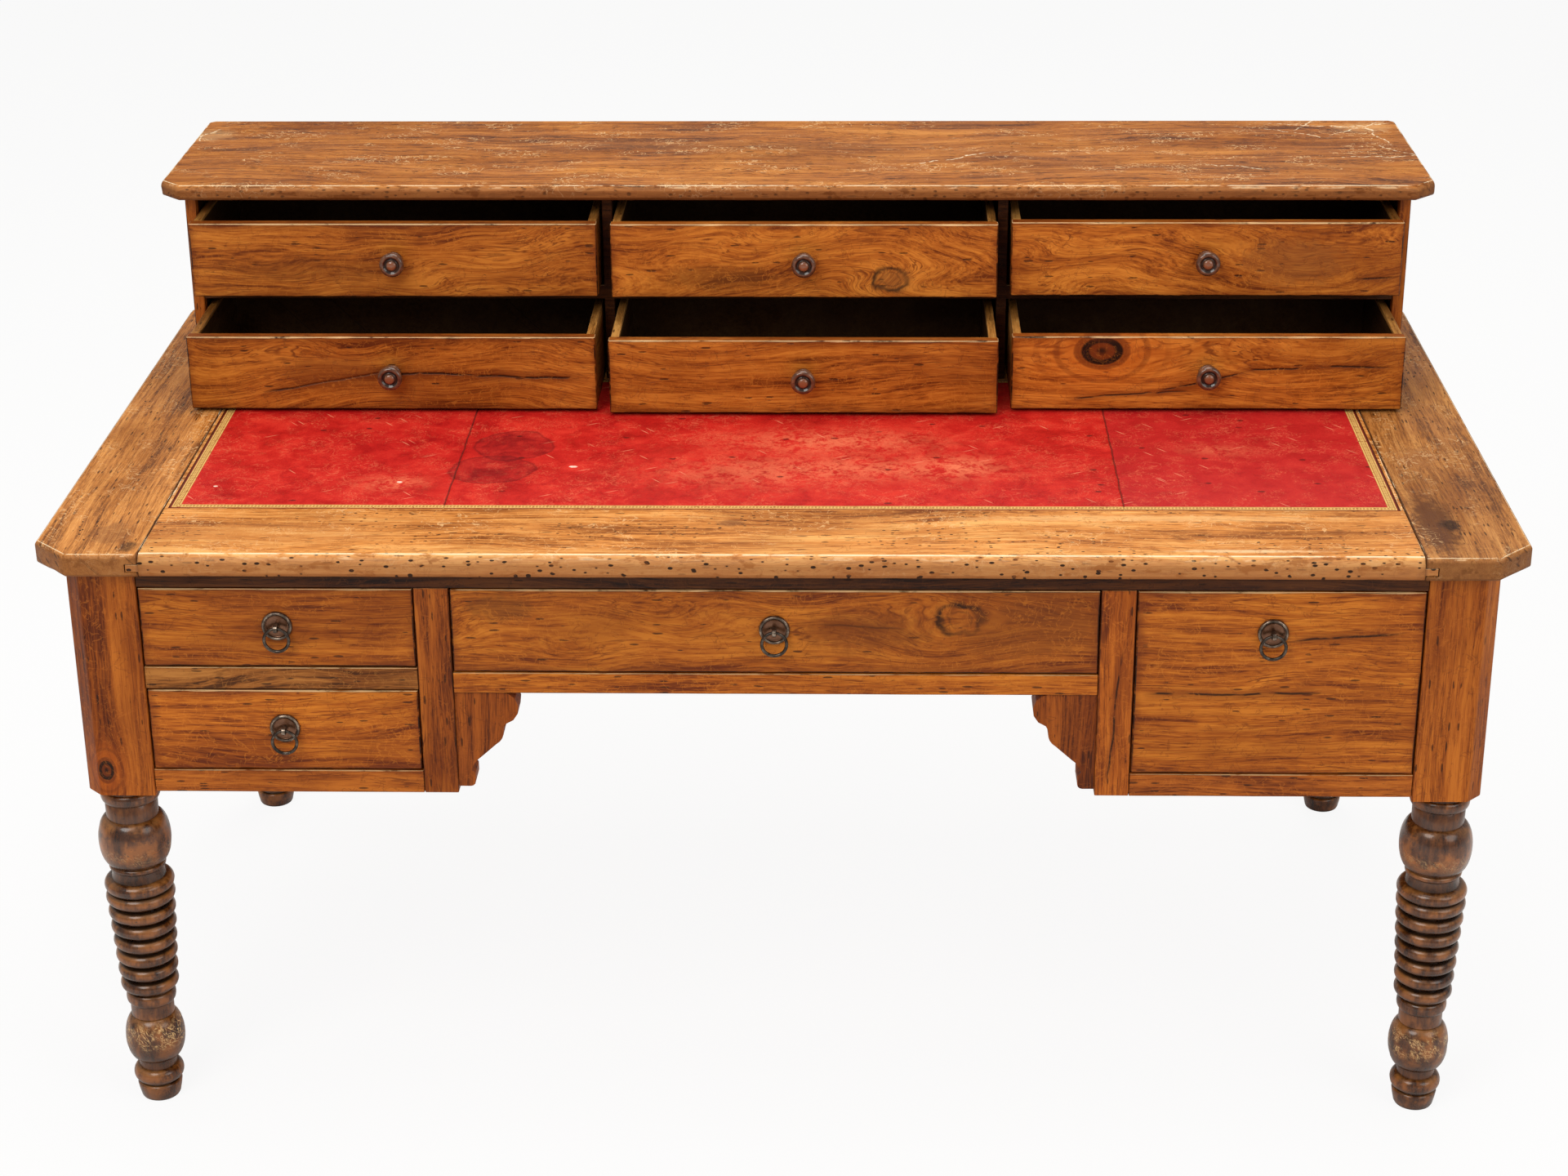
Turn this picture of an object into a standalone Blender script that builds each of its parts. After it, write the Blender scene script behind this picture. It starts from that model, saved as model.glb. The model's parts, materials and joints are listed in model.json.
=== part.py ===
"""Library desk with a leather writing surface and a gallery of small drawers.

Metres, +Z up. X runs along the desk and the drawers open towards -Y. The origin is on the
floor, under the middle of the desk top. Every piece of the desk is an object of its own.
"""
import math

import bmesh
import bpy
from mathutils import Matrix, Vector

# Clearances
SEAT = 0.0003            # between pieces that are glued together or rest on each other
RUN = 0.0004             # under a drawer box, on the board that it runs on
FRONT_GAP = 0.0015       # round a base drawer's front in its opening
BAY_GAP = 0.002          # at each side of a gallery drawer's front in its bay
FRONT_LIFT = 0.0035      # from a gallery drawer's running edge up to its front
BOX_GAP = 0.002          # from the edge of a drawer's front in to its box

# Desk top: a panel with a moulded front edge between two end cleats
TOP_WIDTH = 1.770
TOP_DEPTH = 0.940
TOP_HEIGHT = 0.780
TOP_THICKNESS = 0.0285
NOSE_RADIUS = 0.012
NOSE_LOWER_RADIUS = 0.005
TOP_CORNER_CUT = 0.044
CLEAT_WIDTH = 0.131
TONGUE_LENGTH = 0.0145
TONGUE_THICKNESS = 0.009
TONGUE_DEPTH = 0.0125    # from the upper face down to the tongue
LEATHER_THICKNESS = 0.0017
LEATHER_END_MARGIN = 0.0055
LEATHER_FRONT_MARGIN = 0.152
LEATHER_BACK_MARGIN = 0.003

# Legs: a square post and a turned leg in one piece of wood
POST_WIDTH = 0.087
POST_CHAMFER = 0.019
POST_SIDE_INSET = 0.034
POST_DROP = 0.0064       # post below the bottom rails
FACE_SETBACK = 0.022     # front frame behind the nose of the desk top
BACK_SETBACK = 0.010
LEG_SEGMENTS = 14
PROFILE_STEP = 0.0015    # closest that two points of a leg's profile lie

# Heights of the turned sections, from the top down; the shaft's rings fill what is left
COLLAR_NECK_HEIGHT = 0.007
COLLAR_HEIGHT = 0.016
UPPER_NECK_HEIGHT = 0.023
UPPER_BALL_HEIGHT = 0.064
UPPER_FILLET_HEIGHT = 0.009
WAIST_HEIGHT = 0.012
GREAT_RING_HEIGHT = 0.018
SMALL_RING_HEIGHT = 0.017
LOWER_NECK_HEIGHT = 0.018
LOWER_BALL_HEIGHT = 0.064
ANKLE_HEIGHT = 0.012
FOOT_RING_HEIGHT = 0.021
FOOT_GROOVE_HEIGHT = 0.002
FOOT_HEIGHT = 0.023
SHAFT_RINGS = 7

# Radii of the turned sections
COLLAR_RADIUS = 0.0370
UPPER_NECK_RADIUS = 0.0325
UPPER_BALL_RADIUS = 0.0450
UPPER_FILLET_RADIUS = 0.0355
WAIST_RADIUS = 0.0310
GREAT_RING_RADIUS = 0.0435
SHAFT_TOP_RADIUS = 0.0420
SHAFT_BOTTOM_RADIUS = 0.0352
RING_CUT = 0.0065        # depth of the grooves between the shaft's rings
SMALL_RING_RADIUS = 0.0305
LOWER_NECK_RADIUS = 0.0275
LOWER_BALL_RADIUS = 0.0378
ANKLE_RADIUS = 0.0242
FOOT_RING_RADIUS = 0.0320
FOOT_RADIUS = 0.0285
FOOT_SOLE_RADIUS = 0.0240

# Front frame
FRAME_DEPTH = 0.042
TOP_RAIL_HEIGHT = 0.0214
MIDDLE_RAIL_HEIGHT = 0.0287
BOTTOM_RAIL_HEIGHT = 0.0300
CENTRE_RAIL_HEIGHT = 0.0269
LEFT_UPPER_OPENING = 0.1042
LEFT_LOWER_OPENING = 0.1086
CENTRE_OPENING = 0.1102
STILE_WIDTH = 0.0415
LEFT_STILE_X = -0.4129
RIGHT_STILE_X = 0.4014

# Boards behind the frame
SIDE_PANEL_THICKNESS = 0.018
SIDE_PANEL_INSET = 0.012
BACK_PANEL_THICKNESS = 0.015
BACK_PANEL_INSET = 0.012
PARTITION_THICKNESS = 0.016
DUST_BOARD_THICKNESS = 0.010

# Kneehole brackets
BRACKET_SETBACK = 0.004
BRACKET_THICKNESS = 0.034
BRACKET_WIDTH = 0.077
BRACKET_HEIGHT = 0.127
BRACKET_LOBE_RADIUS = 0.0216
BRACKET_NOTCH_INSET = 0.0196   # from the edge of the lobe in to the notch under it
BRACKET_NOTCH_DROP = 0.0489    # from the rail down to the notch
BRACKET_BELLY_RADIUS = 0.0193
BRACKET_BELLY_INSET = 0.0385   # from the edge of the lobe in to the middle of the belly
BRACKET_BELLY_DROP = 0.0533    # from the rail down to the middle of the belly
BRACKET_COVE_RADIUS = 0.0308
BRACKET_COVE_INSET = 0.0308    # from the edge of the lobe in to the middle of the cove
BRACKET_COVE_RISE = 0.0140     # from the foot of the bracket up to the middle of the cove
BRACKET_TOE_WIDTH = 0.0208
BRACKET_TOE_HEIGHT = 0.0171
BRACKET_TOE_RADIUS = 0.0062

# Gallery
GALLERY_SHIFT = 0.008    # the gallery stands a little to the right of the middle
GALLERY_TOP_WIDTH = 1.686
GALLERY_TOP_DEPTH = 0.348
GALLERY_TOP_THICKNESS = 0.020
GALLERY_NOSE_RADIUS = 0.008
GALLERY_CORNER_CUT = 0.028
GALLERY_HEIGHT = 0.2813  # from the desk top to the gallery's upper face
GALLERY_OVERHANG = 0.042
GALLERY_SIDE_OVERHANG = 0.0265
GALLERY_BACK_INSET = 0.012
GALLERY_SIDE_THICKNESS = 0.0155
GALLERY_BACK_THICKNESS = 0.010
SHELF_THICKNESS = 0.020
SHELF_HEIGHT = 0.1135    # from the desk top to the shelf's lower face
UPRIGHT_THICKNESS = 0.014
LEFT_UPRIGHT_X = -0.251  # from the middle of the gallery
RIGHT_UPRIGHT_X = 0.277

# Drawers
BASE_FRONT_THICKNESS = 0.020
BASE_BOX_LENGTH = 0.600
GALLERY_FRONT_THICKNESS = 0.017
GALLERY_FRONT_HEIGHT = 0.1005
GALLERY_BOX_LENGTH = 0.255
BOX_WALL = 0.011
BOX_FLOOR = 0.006
BOX_TOP_DROP = 0.002     # from the top of the front down to the box's upper edge
UPPER_PULLOUTS = (0.068, 0.0705, 0.061)
LOWER_PULLOUTS = (0.137, 0.150, 0.132)

# Turned knobs
KNOB_RADIUS = 0.0165
KNOB_BASE_RADIUS = 0.0125
KNOB_NECK_RADIUS = 0.0080
KNOB_BUTTON_RADIUS = 0.0075
KNOB_TIP_RADIUS = 0.0038
KNOB_LENGTH = 0.027
KNOB_HEAD_LENGTH = 0.0128
KNOB_STEP = 0.00225      # between the ridges of a knob's profile
KNOB_SEGMENTS = 14

# Ring pulls
PLATE_RADIUS = 0.0185
PLATE_THICKNESS = 0.0026
PLATE_RIM_WIDTH = 0.0040
PLATE_RIM_HEIGHT = 0.0014
EYE_WIDTH = 0.0056
EYE_RADIUS = 0.0052
EYE_HOLE_RADIUS = 0.0031
EYE_REACH = 0.0100       # from the drawer's face to the hinge line of the ring
RING_RADIUS = 0.0152     # to the middle of the wire
RING_WIRE_RADIUS = 0.0022
RING_SEGMENTS = 22
RING_WIRE_SEGMENTS = 7
PLATE_RAISE = 0.003      # plate above the middle of its drawer's front
RIGHT_PLATE_DROP = 0.053 # deep drawer: from the top of its front down to the plate
RIGHT_PLATE_SHIFT = -0.0085

# Lines that the pieces share
TOP_FRONT = -TOP_DEPTH / 2
TOP_BACK = TOP_DEPTH / 2
TOP_UNDERSIDE = TOP_HEIGHT - TOP_THICKNESS
CARCASS_TOP = TOP_UNDERSIDE - SEAT
JOINT_X = TOP_WIDTH / 2 - CLEAT_WIDTH
FACE_Y = TOP_FRONT + FACE_SETBACK
FRAME_BACK_Y = FACE_Y + FRAME_DEPTH
BACK_Y = TOP_BACK - BACK_SETBACK
POST_OUTER_X = TOP_WIDTH / 2 - POST_SIDE_INSET
POST_INNER_X = POST_OUTER_X - POST_WIDTH
SIDE_PANEL_OUTER_X = POST_OUTER_X - SIDE_PANEL_INSET
SIDE_PANEL_INNER_X = SIDE_PANEL_OUTER_X - SIDE_PANEL_THICKNESS
BACK_PANEL_Y = BACK_Y - BACK_PANEL_INSET
BACK_PANEL_FRONT_Y = BACK_PANEL_Y - BACK_PANEL_THICKNESS

OPENING_TOP = TOP_UNDERSIDE - TOP_RAIL_HEIGHT
MIDDLE_RAIL_TOP = OPENING_TOP - LEFT_UPPER_OPENING
MIDDLE_RAIL_BOTTOM = MIDDLE_RAIL_TOP - MIDDLE_RAIL_HEIGHT
BOTTOM_RAIL_TOP = MIDDLE_RAIL_BOTTOM - LEFT_LOWER_OPENING
CARCASS_BOTTOM = BOTTOM_RAIL_TOP - BOTTOM_RAIL_HEIGHT
CENTRE_RAIL_TOP = OPENING_TOP - CENTRE_OPENING
CENTRE_RAIL_BOTTOM = CENTRE_RAIL_TOP - CENTRE_RAIL_HEIGHT
POST_BOTTOM = CARCASS_BOTTOM - POST_DROP

GALLERY_TOP_Z = TOP_HEIGHT + GALLERY_HEIGHT
GALLERY_UNDERSIDE = GALLERY_TOP_Z - GALLERY_TOP_THICKNESS
GALLERY_NOSE_Y = TOP_BACK - GALLERY_TOP_DEPTH
GALLERY_FACE_Y = GALLERY_NOSE_Y + GALLERY_OVERHANG
GALLERY_OUTER = GALLERY_TOP_WIDTH / 2 - GALLERY_SIDE_OVERHANG
GALLERY_INNER = GALLERY_OUTER - GALLERY_SIDE_THICKNESS
GALLERY_BACK_Y = TOP_BACK - GALLERY_BACK_INSET
GALLERY_BACK_FRONT_Y = GALLERY_BACK_Y - GALLERY_BACK_THICKNESS
SHELF_BOTTOM = TOP_HEIGHT + SHELF_HEIGHT
SHELF_TOP = SHELF_BOTTOM + SHELF_THICKNESS


def clear_scene():
    """Removes what the scene held before."""
    for item in list(bpy.data.objects):
        bpy.data.objects.remove(item, do_unlink=True)


def finish(name, colour, roughness, metallic=0.0):
    """A plain material with the piece's colour, roughness and metallic value."""
    result = bpy.data.materials.new(name)
    result.use_nodes = True
    shader = result.node_tree.nodes["Principled BSDF"]
    shader.inputs["Base Color"].default_value = (*colour, 1.0)
    shader.inputs["Roughness"].default_value = roughness
    shader.inputs["Metallic"].default_value = metallic
    return result


def add_object(name, shape, colour, origin=(0.0, 0.0, 0.0), parent=None, smooth=False):
    """Turns a shape, drawn about its own origin, into a named object at that origin."""
    mesh = bpy.data.meshes.new(name)
    shape.to_mesh(mesh)
    shape.free()
    if smooth:
        mesh.shade_smooth()
        mesh.set_sharp_from_angle(angle=math.radians(40))
    mesh.materials.append(finish(name, *colour))
    item = bpy.data.objects.new(name, mesh)
    item.parent = parent
    item.location = origin
    bpy.context.scene.collection.objects.link(item)
    return item


def add_empty(name, origin):
    """A guide that carries the pieces of one drawer, on its line of travel."""
    item = bpy.data.objects.new(name, None)
    item.location = origin
    item.hide_render = True
    bpy.context.scene.collection.objects.link(item)
    return item


def grid_solid(xs, ys, zs, inside):
    """One closed shape of the cells, between the given planes, whose middle is inside."""
    planes = [sorted(set(values)) for values in (xs, ys, zs)]
    shape = bmesh.new()
    corners = {}

    def middle(cell):
        return [(planes[a][cell[a]] + planes[a][cell[a] + 1]) / 2 for a in range(3)]

    def corner(index):
        if index not in corners:
            corners[index] = shape.verts.new([planes[a][index[a]] for a in range(3)])
        return corners[index]

    counts = [len(values) - 1 for values in planes]
    cells = [(i, j, k) for i in range(counts[0]) for j in range(counts[1]) for k in range(counts[2])]
    filled = [cell for cell in cells if inside(*middle(cell))]
    for cell in filled:
        for axis in range(3):
            across, along = (axis + 1) % 3, (axis + 2) % 3
            for side in (0, 1):
                neighbour = list(cell)
                neighbour[axis] += 2 * side - 1
                if tuple(neighbour) in filled:
                    continue
                turn = [(0, 0), (1, 0), (1, 1), (0, 1)]
                if side == 0:
                    turn.reverse()
                face = []
                for step_across, step_along in turn:
                    index = list(cell)
                    index[axis] += side
                    index[across] += step_across
                    index[along] += step_along
                    face.append(corner(tuple(index)))
                shape.faces.new(face)
    return shape


def block(low, high):
    """A rectangular block between two corners."""
    return grid_solid((low[0], high[0]), (low[1], high[1]), (low[2], high[2]), lambda x, y, z: True)


def prism(outline, axis, start, end):
    """An outline drawn across one axis (0, 1 or 2), carried along it from start to end."""
    shape = bmesh.new()
    rings = []
    for along in (start, end):
        ring = []
        for first, second in outline:
            point = [first, second]
            point.insert(axis, along)
            ring.append(shape.verts.new(point))
        rings.append(ring)
    for i in range(len(outline)):
        j = (i + 1) % len(outline)
        shape.faces.new((rings[0][i], rings[0][j], rings[1][j], rings[1][i]))
    for ring in rings:
        shape.faces.new(ring)
    bmesh.ops.recalc_face_normals(shape, faces=shape.faces)
    return shape


def turned(profile, segments):
    """A turned shape about Z, from a profile of (radius, height) points, top to bottom."""
    shape = bmesh.new()
    rings = []
    for radius, height in profile:
        ring = []
        for k in range(segments):
            angle = 2 * math.pi * k / segments
            ring.append(shape.verts.new((radius * math.cos(angle), radius * math.sin(angle), height)))
        rings.append(ring)
    for upper, lower in zip(rings, rings[1:]):
        for k in range(segments):
            j = (k + 1) % segments
            shape.faces.new((upper[k], lower[k], lower[j], upper[j]))
    shape.faces.new(rings[0])
    shape.faces.new(rings[-1])
    bmesh.ops.recalc_face_normals(shape, faces=shape.faces)
    return shape


def boolean(first, second, operation):
    """The union or difference of two closed shapes."""
    holders = []
    for shape in (first, second):
        mesh = bpy.data.meshes.new("shape")
        shape.to_mesh(mesh)
        shape.free()
        holder = bpy.data.objects.new("shape", mesh)
        bpy.context.scene.collection.objects.link(holder)
        holders.append(holder)
    cut = holders[0].modifiers.new("cut", "BOOLEAN")
    cut.operation = operation
    cut.object = holders[1]
    result = bmesh.new()
    result.from_object(holders[0], bpy.context.evaluated_depsgraph_get())
    for holder in holders:
        mesh = holder.data
        bpy.data.objects.remove(holder)
        bpy.data.meshes.remove(mesh)
    return result


def arc(centre, radius, start, end, steps):
    """Points along an arc, angles in degrees, both ends included."""
    points = []
    for i in range(steps + 1):
        angle = math.radians(start + (end - start) * i / steps)
        points.append((centre[0] + radius * math.cos(angle), centre[1] + radius * math.sin(angle)))
    return points


def bead(top, bottom, root, crest, steps):
    """Profile points of a rounded ring, from its upper root over its crest to its lower root."""
    middle = (top + bottom) / 2
    half = (top - bottom) / 2
    points = []
    for i in range(steps + 1):
        angle = math.pi * i / steps
        points.append((root + (crest - root) * math.sin(angle), middle + half * math.cos(angle)))
    return points


WOOD = ((0.36, 0.15, 0.04), 0.45)
DARK_WOOD = ((0.20, 0.08, 0.03), 0.40)
PALE_WOOD = ((0.48, 0.27, 0.10), 0.60)
LEATHER = ((0.62, 0.03, 0.03), 0.45)
BRONZE = ((0.10, 0.07, 0.05), 0.40, 1.0)


def nosed_outline(front, back, bottom, top, upper_radius, lower_radius):
    """Section of a board across Y and Z, with its front edge rounded above and below."""
    outline = [(back, bottom), (back, top)]
    outline += arc((front + upper_radius, top - upper_radius), upper_radius, 90, 180, 6)
    outline += arc((front + lower_radius, bottom + lower_radius), lower_radius, 180, 270, 3)
    return outline


def corner_wedge(corner_x, corner_y, cut, bottom, top):
    """Cutter that takes a corner off a board at 45 degrees; corner_x tells which end it is."""
    side = math.copysign(1.0, corner_x)
    spare = cut / 2
    outline = [
        (corner_x - side * (cut + spare), corner_y - spare),
        (corner_x + side * spare, corner_y - spare),
        (corner_x + side * spare, corner_y + cut + spare),
    ]
    return prism(outline, 2, bottom - spare, top + spare)


def build_desk_top():
    """The panel with its tongues and its recess, the two cleats and the leather."""
    section = nosed_outline(TOP_FRONT, TOP_BACK, TOP_UNDERSIDE, TOP_HEIGHT, NOSE_RADIUS, NOSE_LOWER_RADIUS)
    tongue_top = TOP_HEIGHT - TONGUE_DEPTH
    tongue_bottom = tongue_top - TONGUE_THICKNESS
    panel_end = JOINT_X - SEAT
    tongue_end = JOINT_X + TONGUE_LENGTH - SEAT
    leather_x = JOINT_X - LEATHER_END_MARGIN
    leather_front = TOP_FRONT + LEATHER_FRONT_MARGIN
    leather_back = GALLERY_FACE_Y - LEATHER_BACK_MARGIN
    recess_floor = TOP_HEIGHT - LEATHER_THICKNESS - SEAT

    panel = prism(section, 0, -panel_end, panel_end)
    tongue = block((-tongue_end, TOP_FRONT + SEAT, tongue_bottom), (tongue_end, TOP_BACK - SEAT, tongue_top))
    panel = boolean(panel, tongue, "UNION")
    recess = block(
        (-leather_x - SEAT, leather_front - SEAT, recess_floor),
        (leather_x + SEAT, leather_back + SEAT, TOP_HEIGHT + LEATHER_THICKNESS))
    panel = boolean(panel, recess, "DIFFERENCE")
    add_object("top_panel", panel, WOOD)

    leather = block((-leather_x, leather_front, recess_floor + SEAT), (leather_x, leather_back, TOP_HEIGHT))
    add_object("leather_inset", leather, LEATHER)

    for name, side in (("end_cleat_left", -1), ("end_cleat_right", 1)):
        ends = sorted((side * JOINT_X, side * TOP_WIDTH / 2))
        cleat = prism(section, 0, *ends)
        groove_ends = sorted((side * (JOINT_X - TONGUE_LENGTH), side * (JOINT_X + TONGUE_LENGTH)))
        groove = block(
            (groove_ends[0], TOP_FRONT - TONGUE_LENGTH, tongue_bottom - SEAT),
            (groove_ends[1], TOP_BACK + TONGUE_LENGTH, tongue_top + SEAT))
        cleat = boolean(cleat, groove, "DIFFERENCE")
        wedge = corner_wedge(side * TOP_WIDTH / 2, TOP_FRONT, TOP_CORNER_CUT, TOP_UNDERSIDE, TOP_HEIGHT)
        cleat = boolean(cleat, wedge, "DIFFERENCE")
        add_object(name, cleat, WOOD)


def leg_profile():
    """The turned leg from inside the post down to the floor."""
    fixed = (
        COLLAR_NECK_HEIGHT + COLLAR_HEIGHT + UPPER_NECK_HEIGHT + UPPER_BALL_HEIGHT + UPPER_FILLET_HEIGHT
        + WAIST_HEIGHT + GREAT_RING_HEIGHT + SMALL_RING_HEIGHT + LOWER_NECK_HEIGHT + LOWER_BALL_HEIGHT
        + ANKLE_HEIGHT + FOOT_RING_HEIGHT + FOOT_GROOVE_HEIGHT + FOOT_HEIGHT)
    pitch = (POST_BOTTOM - fixed) / SHAFT_RINGS
    height = POST_BOTTOM
    points = [(UPPER_NECK_RADIUS, height + COLLAR_HEIGHT)]

    def ring(size, root, crest, steps):
        nonlocal height
        points.extend(bead(height, height - size, root, crest, steps))
        height -= size

    def plain(size, upper, lower):
        nonlocal height
        points.append((upper, height))
        points.append((lower, height - size))
        height -= size

    plain(COLLAR_NECK_HEIGHT, UPPER_NECK_RADIUS, UPPER_NECK_RADIUS + RING_CUT / 4)
    ring(COLLAR_HEIGHT, UPPER_NECK_RADIUS, COLLAR_RADIUS, 4)
    plain(UPPER_NECK_HEIGHT, UPPER_NECK_RADIUS, UPPER_NECK_RADIUS)
    ring(UPPER_BALL_HEIGHT, UPPER_NECK_RADIUS, UPPER_BALL_RADIUS, 6)
    ring(UPPER_FILLET_HEIGHT, WAIST_RADIUS, UPPER_FILLET_RADIUS, 3)
    plain(WAIST_HEIGHT, WAIST_RADIUS, WAIST_RADIUS + RING_CUT / 2)
    ring(GREAT_RING_HEIGHT, GREAT_RING_RADIUS - RING_CUT, GREAT_RING_RADIUS, 4)
    for i in range(SHAFT_RINGS):
        share = i / (SHAFT_RINGS - 1)
        crest = SHAFT_TOP_RADIUS + (SHAFT_BOTTOM_RADIUS - SHAFT_TOP_RADIUS) * share
        ring(pitch, crest - RING_CUT, crest, 4)
    ring(SMALL_RING_HEIGHT, LOWER_NECK_RADIUS, SMALL_RING_RADIUS, 3)
    plain(LOWER_NECK_HEIGHT, LOWER_NECK_RADIUS, LOWER_NECK_RADIUS)
    ring(LOWER_BALL_HEIGHT, ANKLE_RADIUS, LOWER_BALL_RADIUS, 6)
    plain(ANKLE_HEIGHT, ANKLE_RADIUS, ANKLE_RADIUS)
    ring(FOOT_RING_HEIGHT, ANKLE_RADIUS, FOOT_RING_RADIUS, 4)
    plain(FOOT_GROOVE_HEIGHT, ANKLE_RADIUS, ANKLE_RADIUS)
    plain(FOOT_HEIGHT, FOOT_RADIUS, FOOT_SOLE_RADIUS)
    spaced = points[:1]
    for point in points[1:]:
        if math.dist(point, spaced[-1]) > PROFILE_STEP:
            spaced.append(point)
    return spaced


def build_legs():
    """Four legs; the chamfer of each post is on its outer corner."""
    half = POST_WIDTH / 2
    across = POST_OUTER_X - half
    corners = {
        "leg_front_left": (-1, -1), "leg_front_right": (1, -1),
        "leg_rear_left": (-1, 1), "leg_rear_right": (1, 1)}
    for name, (side, end) in corners.items():
        outline = [
            (-side * half, -end * half), (side * half, -end * half), (side * half, end * (half - POST_CHAMFER)),
            (side * (half - POST_CHAMFER), end * half), (-side * half, end * half)]
        post = prism(outline, 2, POST_BOTTOM, CARCASS_TOP)
        leg = boolean(post, turned(leg_profile(), LEG_SEGMENTS), "UNION")
        depth = FACE_Y + half if end < 0 else BACK_Y - half
        add_object(name, leg, DARK_WOOD, (side * across, depth, 0.0), smooth=True)


def build_stiles():
    """Each stile carries the partition between a bank of drawers and the kneehole."""
    for name, x in (("stile_left", LEFT_STILE_X), ("stile_right", RIGHT_STILE_X)):
        half, thin = STILE_WIDTH / 2, PARTITION_THICKNESS / 2
        stile_top = OPENING_TOP - SEAT

        def inside(dx, y, z):
            return (y < FRAME_BACK_Y and z < stile_top) or (abs(dx) < thin and y > FRAME_BACK_Y)

        shape = grid_solid(
            (-half, -thin, thin, half), (FACE_Y, FRAME_BACK_Y, BACK_PANEL_FRONT_Y - SEAT),
            (CARCASS_BOTTOM, stile_top, CARCASS_TOP), inside)
        add_object(name, shape, WOOD, (x, 0.0, 0.0))


def build_rail(name, left, right, board_left, board_right, bottom, top, post_side):
    """A front rail with the dust board behind it that carries a drawer.

    The board is wider than the rail and is notched round the posts on post_side.
    """
    board_bottom = top - DUST_BOARD_THICKNESS
    board_back = BACK_PANEL_FRONT_Y - SEAT
    post_front = FACE_Y + POST_WIDTH + SEAT
    post_back = BACK_Y - POST_WIDTH - SEAT
    post_x = post_side * (POST_INNER_X - SEAT)

    def inside(x, y, z):
        if y < FRAME_BACK_Y:
            return left < x < right
        beside_post = post_side and x * post_side > post_x * post_side
        if beside_post and not post_front < y < post_back:
            return False
        return z > board_bottom

    xs = [left, right, board_left, board_right]
    if post_side:
        xs.append(post_x)
    shape = grid_solid(
        xs, (FACE_Y, FRAME_BACK_Y, post_front, post_back, board_back), (bottom, board_bottom, top), inside)
    add_object(name, shape, WOOD)


def build_frame():
    """Rails, stiles, brackets and the panels that close the base."""
    half, thin = STILE_WIDTH / 2, PARTITION_THICKNESS / 2
    post_x = POST_INNER_X - SEAT
    panel_x = SIDE_PANEL_INNER_X - SEAT
    rail = block((-post_x, FACE_Y, OPENING_TOP), (post_x, FRAME_BACK_Y - SEAT, CARCASS_TOP))
    add_object("front_top_rail", rail, WOOD)
    build_stiles()

    left_rail_end = LEFT_STILE_X - half - SEAT
    left_board_end = LEFT_STILE_X - thin - SEAT
    right_rail_end = RIGHT_STILE_X + half + SEAT
    right_board_end = RIGHT_STILE_X + thin + SEAT
    build_rail("left_middle_rail", -post_x, left_rail_end, -panel_x, left_board_end,
               MIDDLE_RAIL_BOTTOM, MIDDLE_RAIL_TOP, -1)
    build_rail("left_bottom_rail", -post_x, left_rail_end, -panel_x, left_board_end,
               CARCASS_BOTTOM, BOTTOM_RAIL_TOP, -1)
    build_rail("right_bottom_rail", right_rail_end, post_x, right_board_end, panel_x,
               CARCASS_BOTTOM, BOTTOM_RAIL_TOP, 1)
    build_rail("centre_rail", LEFT_STILE_X + half + SEAT, RIGHT_STILE_X - half - SEAT,
               LEFT_STILE_X + thin + SEAT, RIGHT_STILE_X - thin - SEAT,
               CENTRE_RAIL_BOTTOM, CENTRE_RAIL_TOP, 0)

    panel_front = FACE_Y + POST_WIDTH + SEAT
    panel_back = BACK_Y - POST_WIDTH - SEAT
    for name, side in (("side_panel_left", -1), ("side_panel_right", 1)):
        ends = sorted((side * SIDE_PANEL_INNER_X, side * SIDE_PANEL_OUTER_X))
        panel = block((ends[0], panel_front, CARCASS_BOTTOM), (ends[1], panel_back, CARCASS_TOP))
        add_object(name, panel, WOOD)

    notch_left = LEFT_STILE_X + half
    notch_right = RIGHT_STILE_X - half

    def inside(x, y, z):
        return z > CENTRE_RAIL_BOTTOM or not notch_left < x < notch_right

    panel = grid_solid(
        (-post_x, notch_left, notch_right, post_x), (BACK_PANEL_FRONT_Y, BACK_PANEL_Y),
        (CARCASS_BOTTOM, CENTRE_RAIL_BOTTOM, CARCASS_TOP), inside)
    add_object("back_panel", panel, WOOD)


def bracket_outline():
    """Shaped edge of a bracket, out from the stile and down from the rail."""
    w, h = BRACKET_WIDTH, BRACKET_HEIGHT
    lobe = BRACKET_LOBE_RADIUS
    toe = BRACKET_TOE_RADIUS
    outline = [(SEAT, -SEAT)]
    outline += arc((w - lobe, -lobe - SEAT), lobe, 90, -75, 6)
    outline += [(w - BRACKET_NOTCH_INSET, -BRACKET_NOTCH_DROP)]
    outline += arc((w - BRACKET_BELLY_INSET, -BRACKET_BELLY_DROP), BRACKET_BELLY_RADIUS, 5, -60, 4)
    outline += arc((w - BRACKET_COVE_INSET, BRACKET_COVE_RISE - h), BRACKET_COVE_RADIUS, 125, 165, 4)
    outline += [(BRACKET_TOE_WIDTH, BRACKET_TOE_HEIGHT - h)]
    outline += arc((BRACKET_TOE_WIDTH - toe, toe - h), toe, 0, -90, 3)
    outline += [(SEAT, -h)]
    return outline


def build_brackets():
    """Two shaped brackets in the upper corners of the kneehole."""
    half = STILE_WIDTH / 2
    front = FACE_Y + BRACKET_SETBACK
    places = (("bracket_left", LEFT_STILE_X + half, 1), ("bracket_right", RIGHT_STILE_X - half, -1))
    for name, x, side in places:
        outline = [(side * out, down) for out, down in bracket_outline()]
        shape = prism(outline, 1, 0.0, BRACKET_THICKNESS)
        add_object(name, shape, DARK_WOOD, (x, front, CENTRE_RAIL_BOTTOM))


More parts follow.
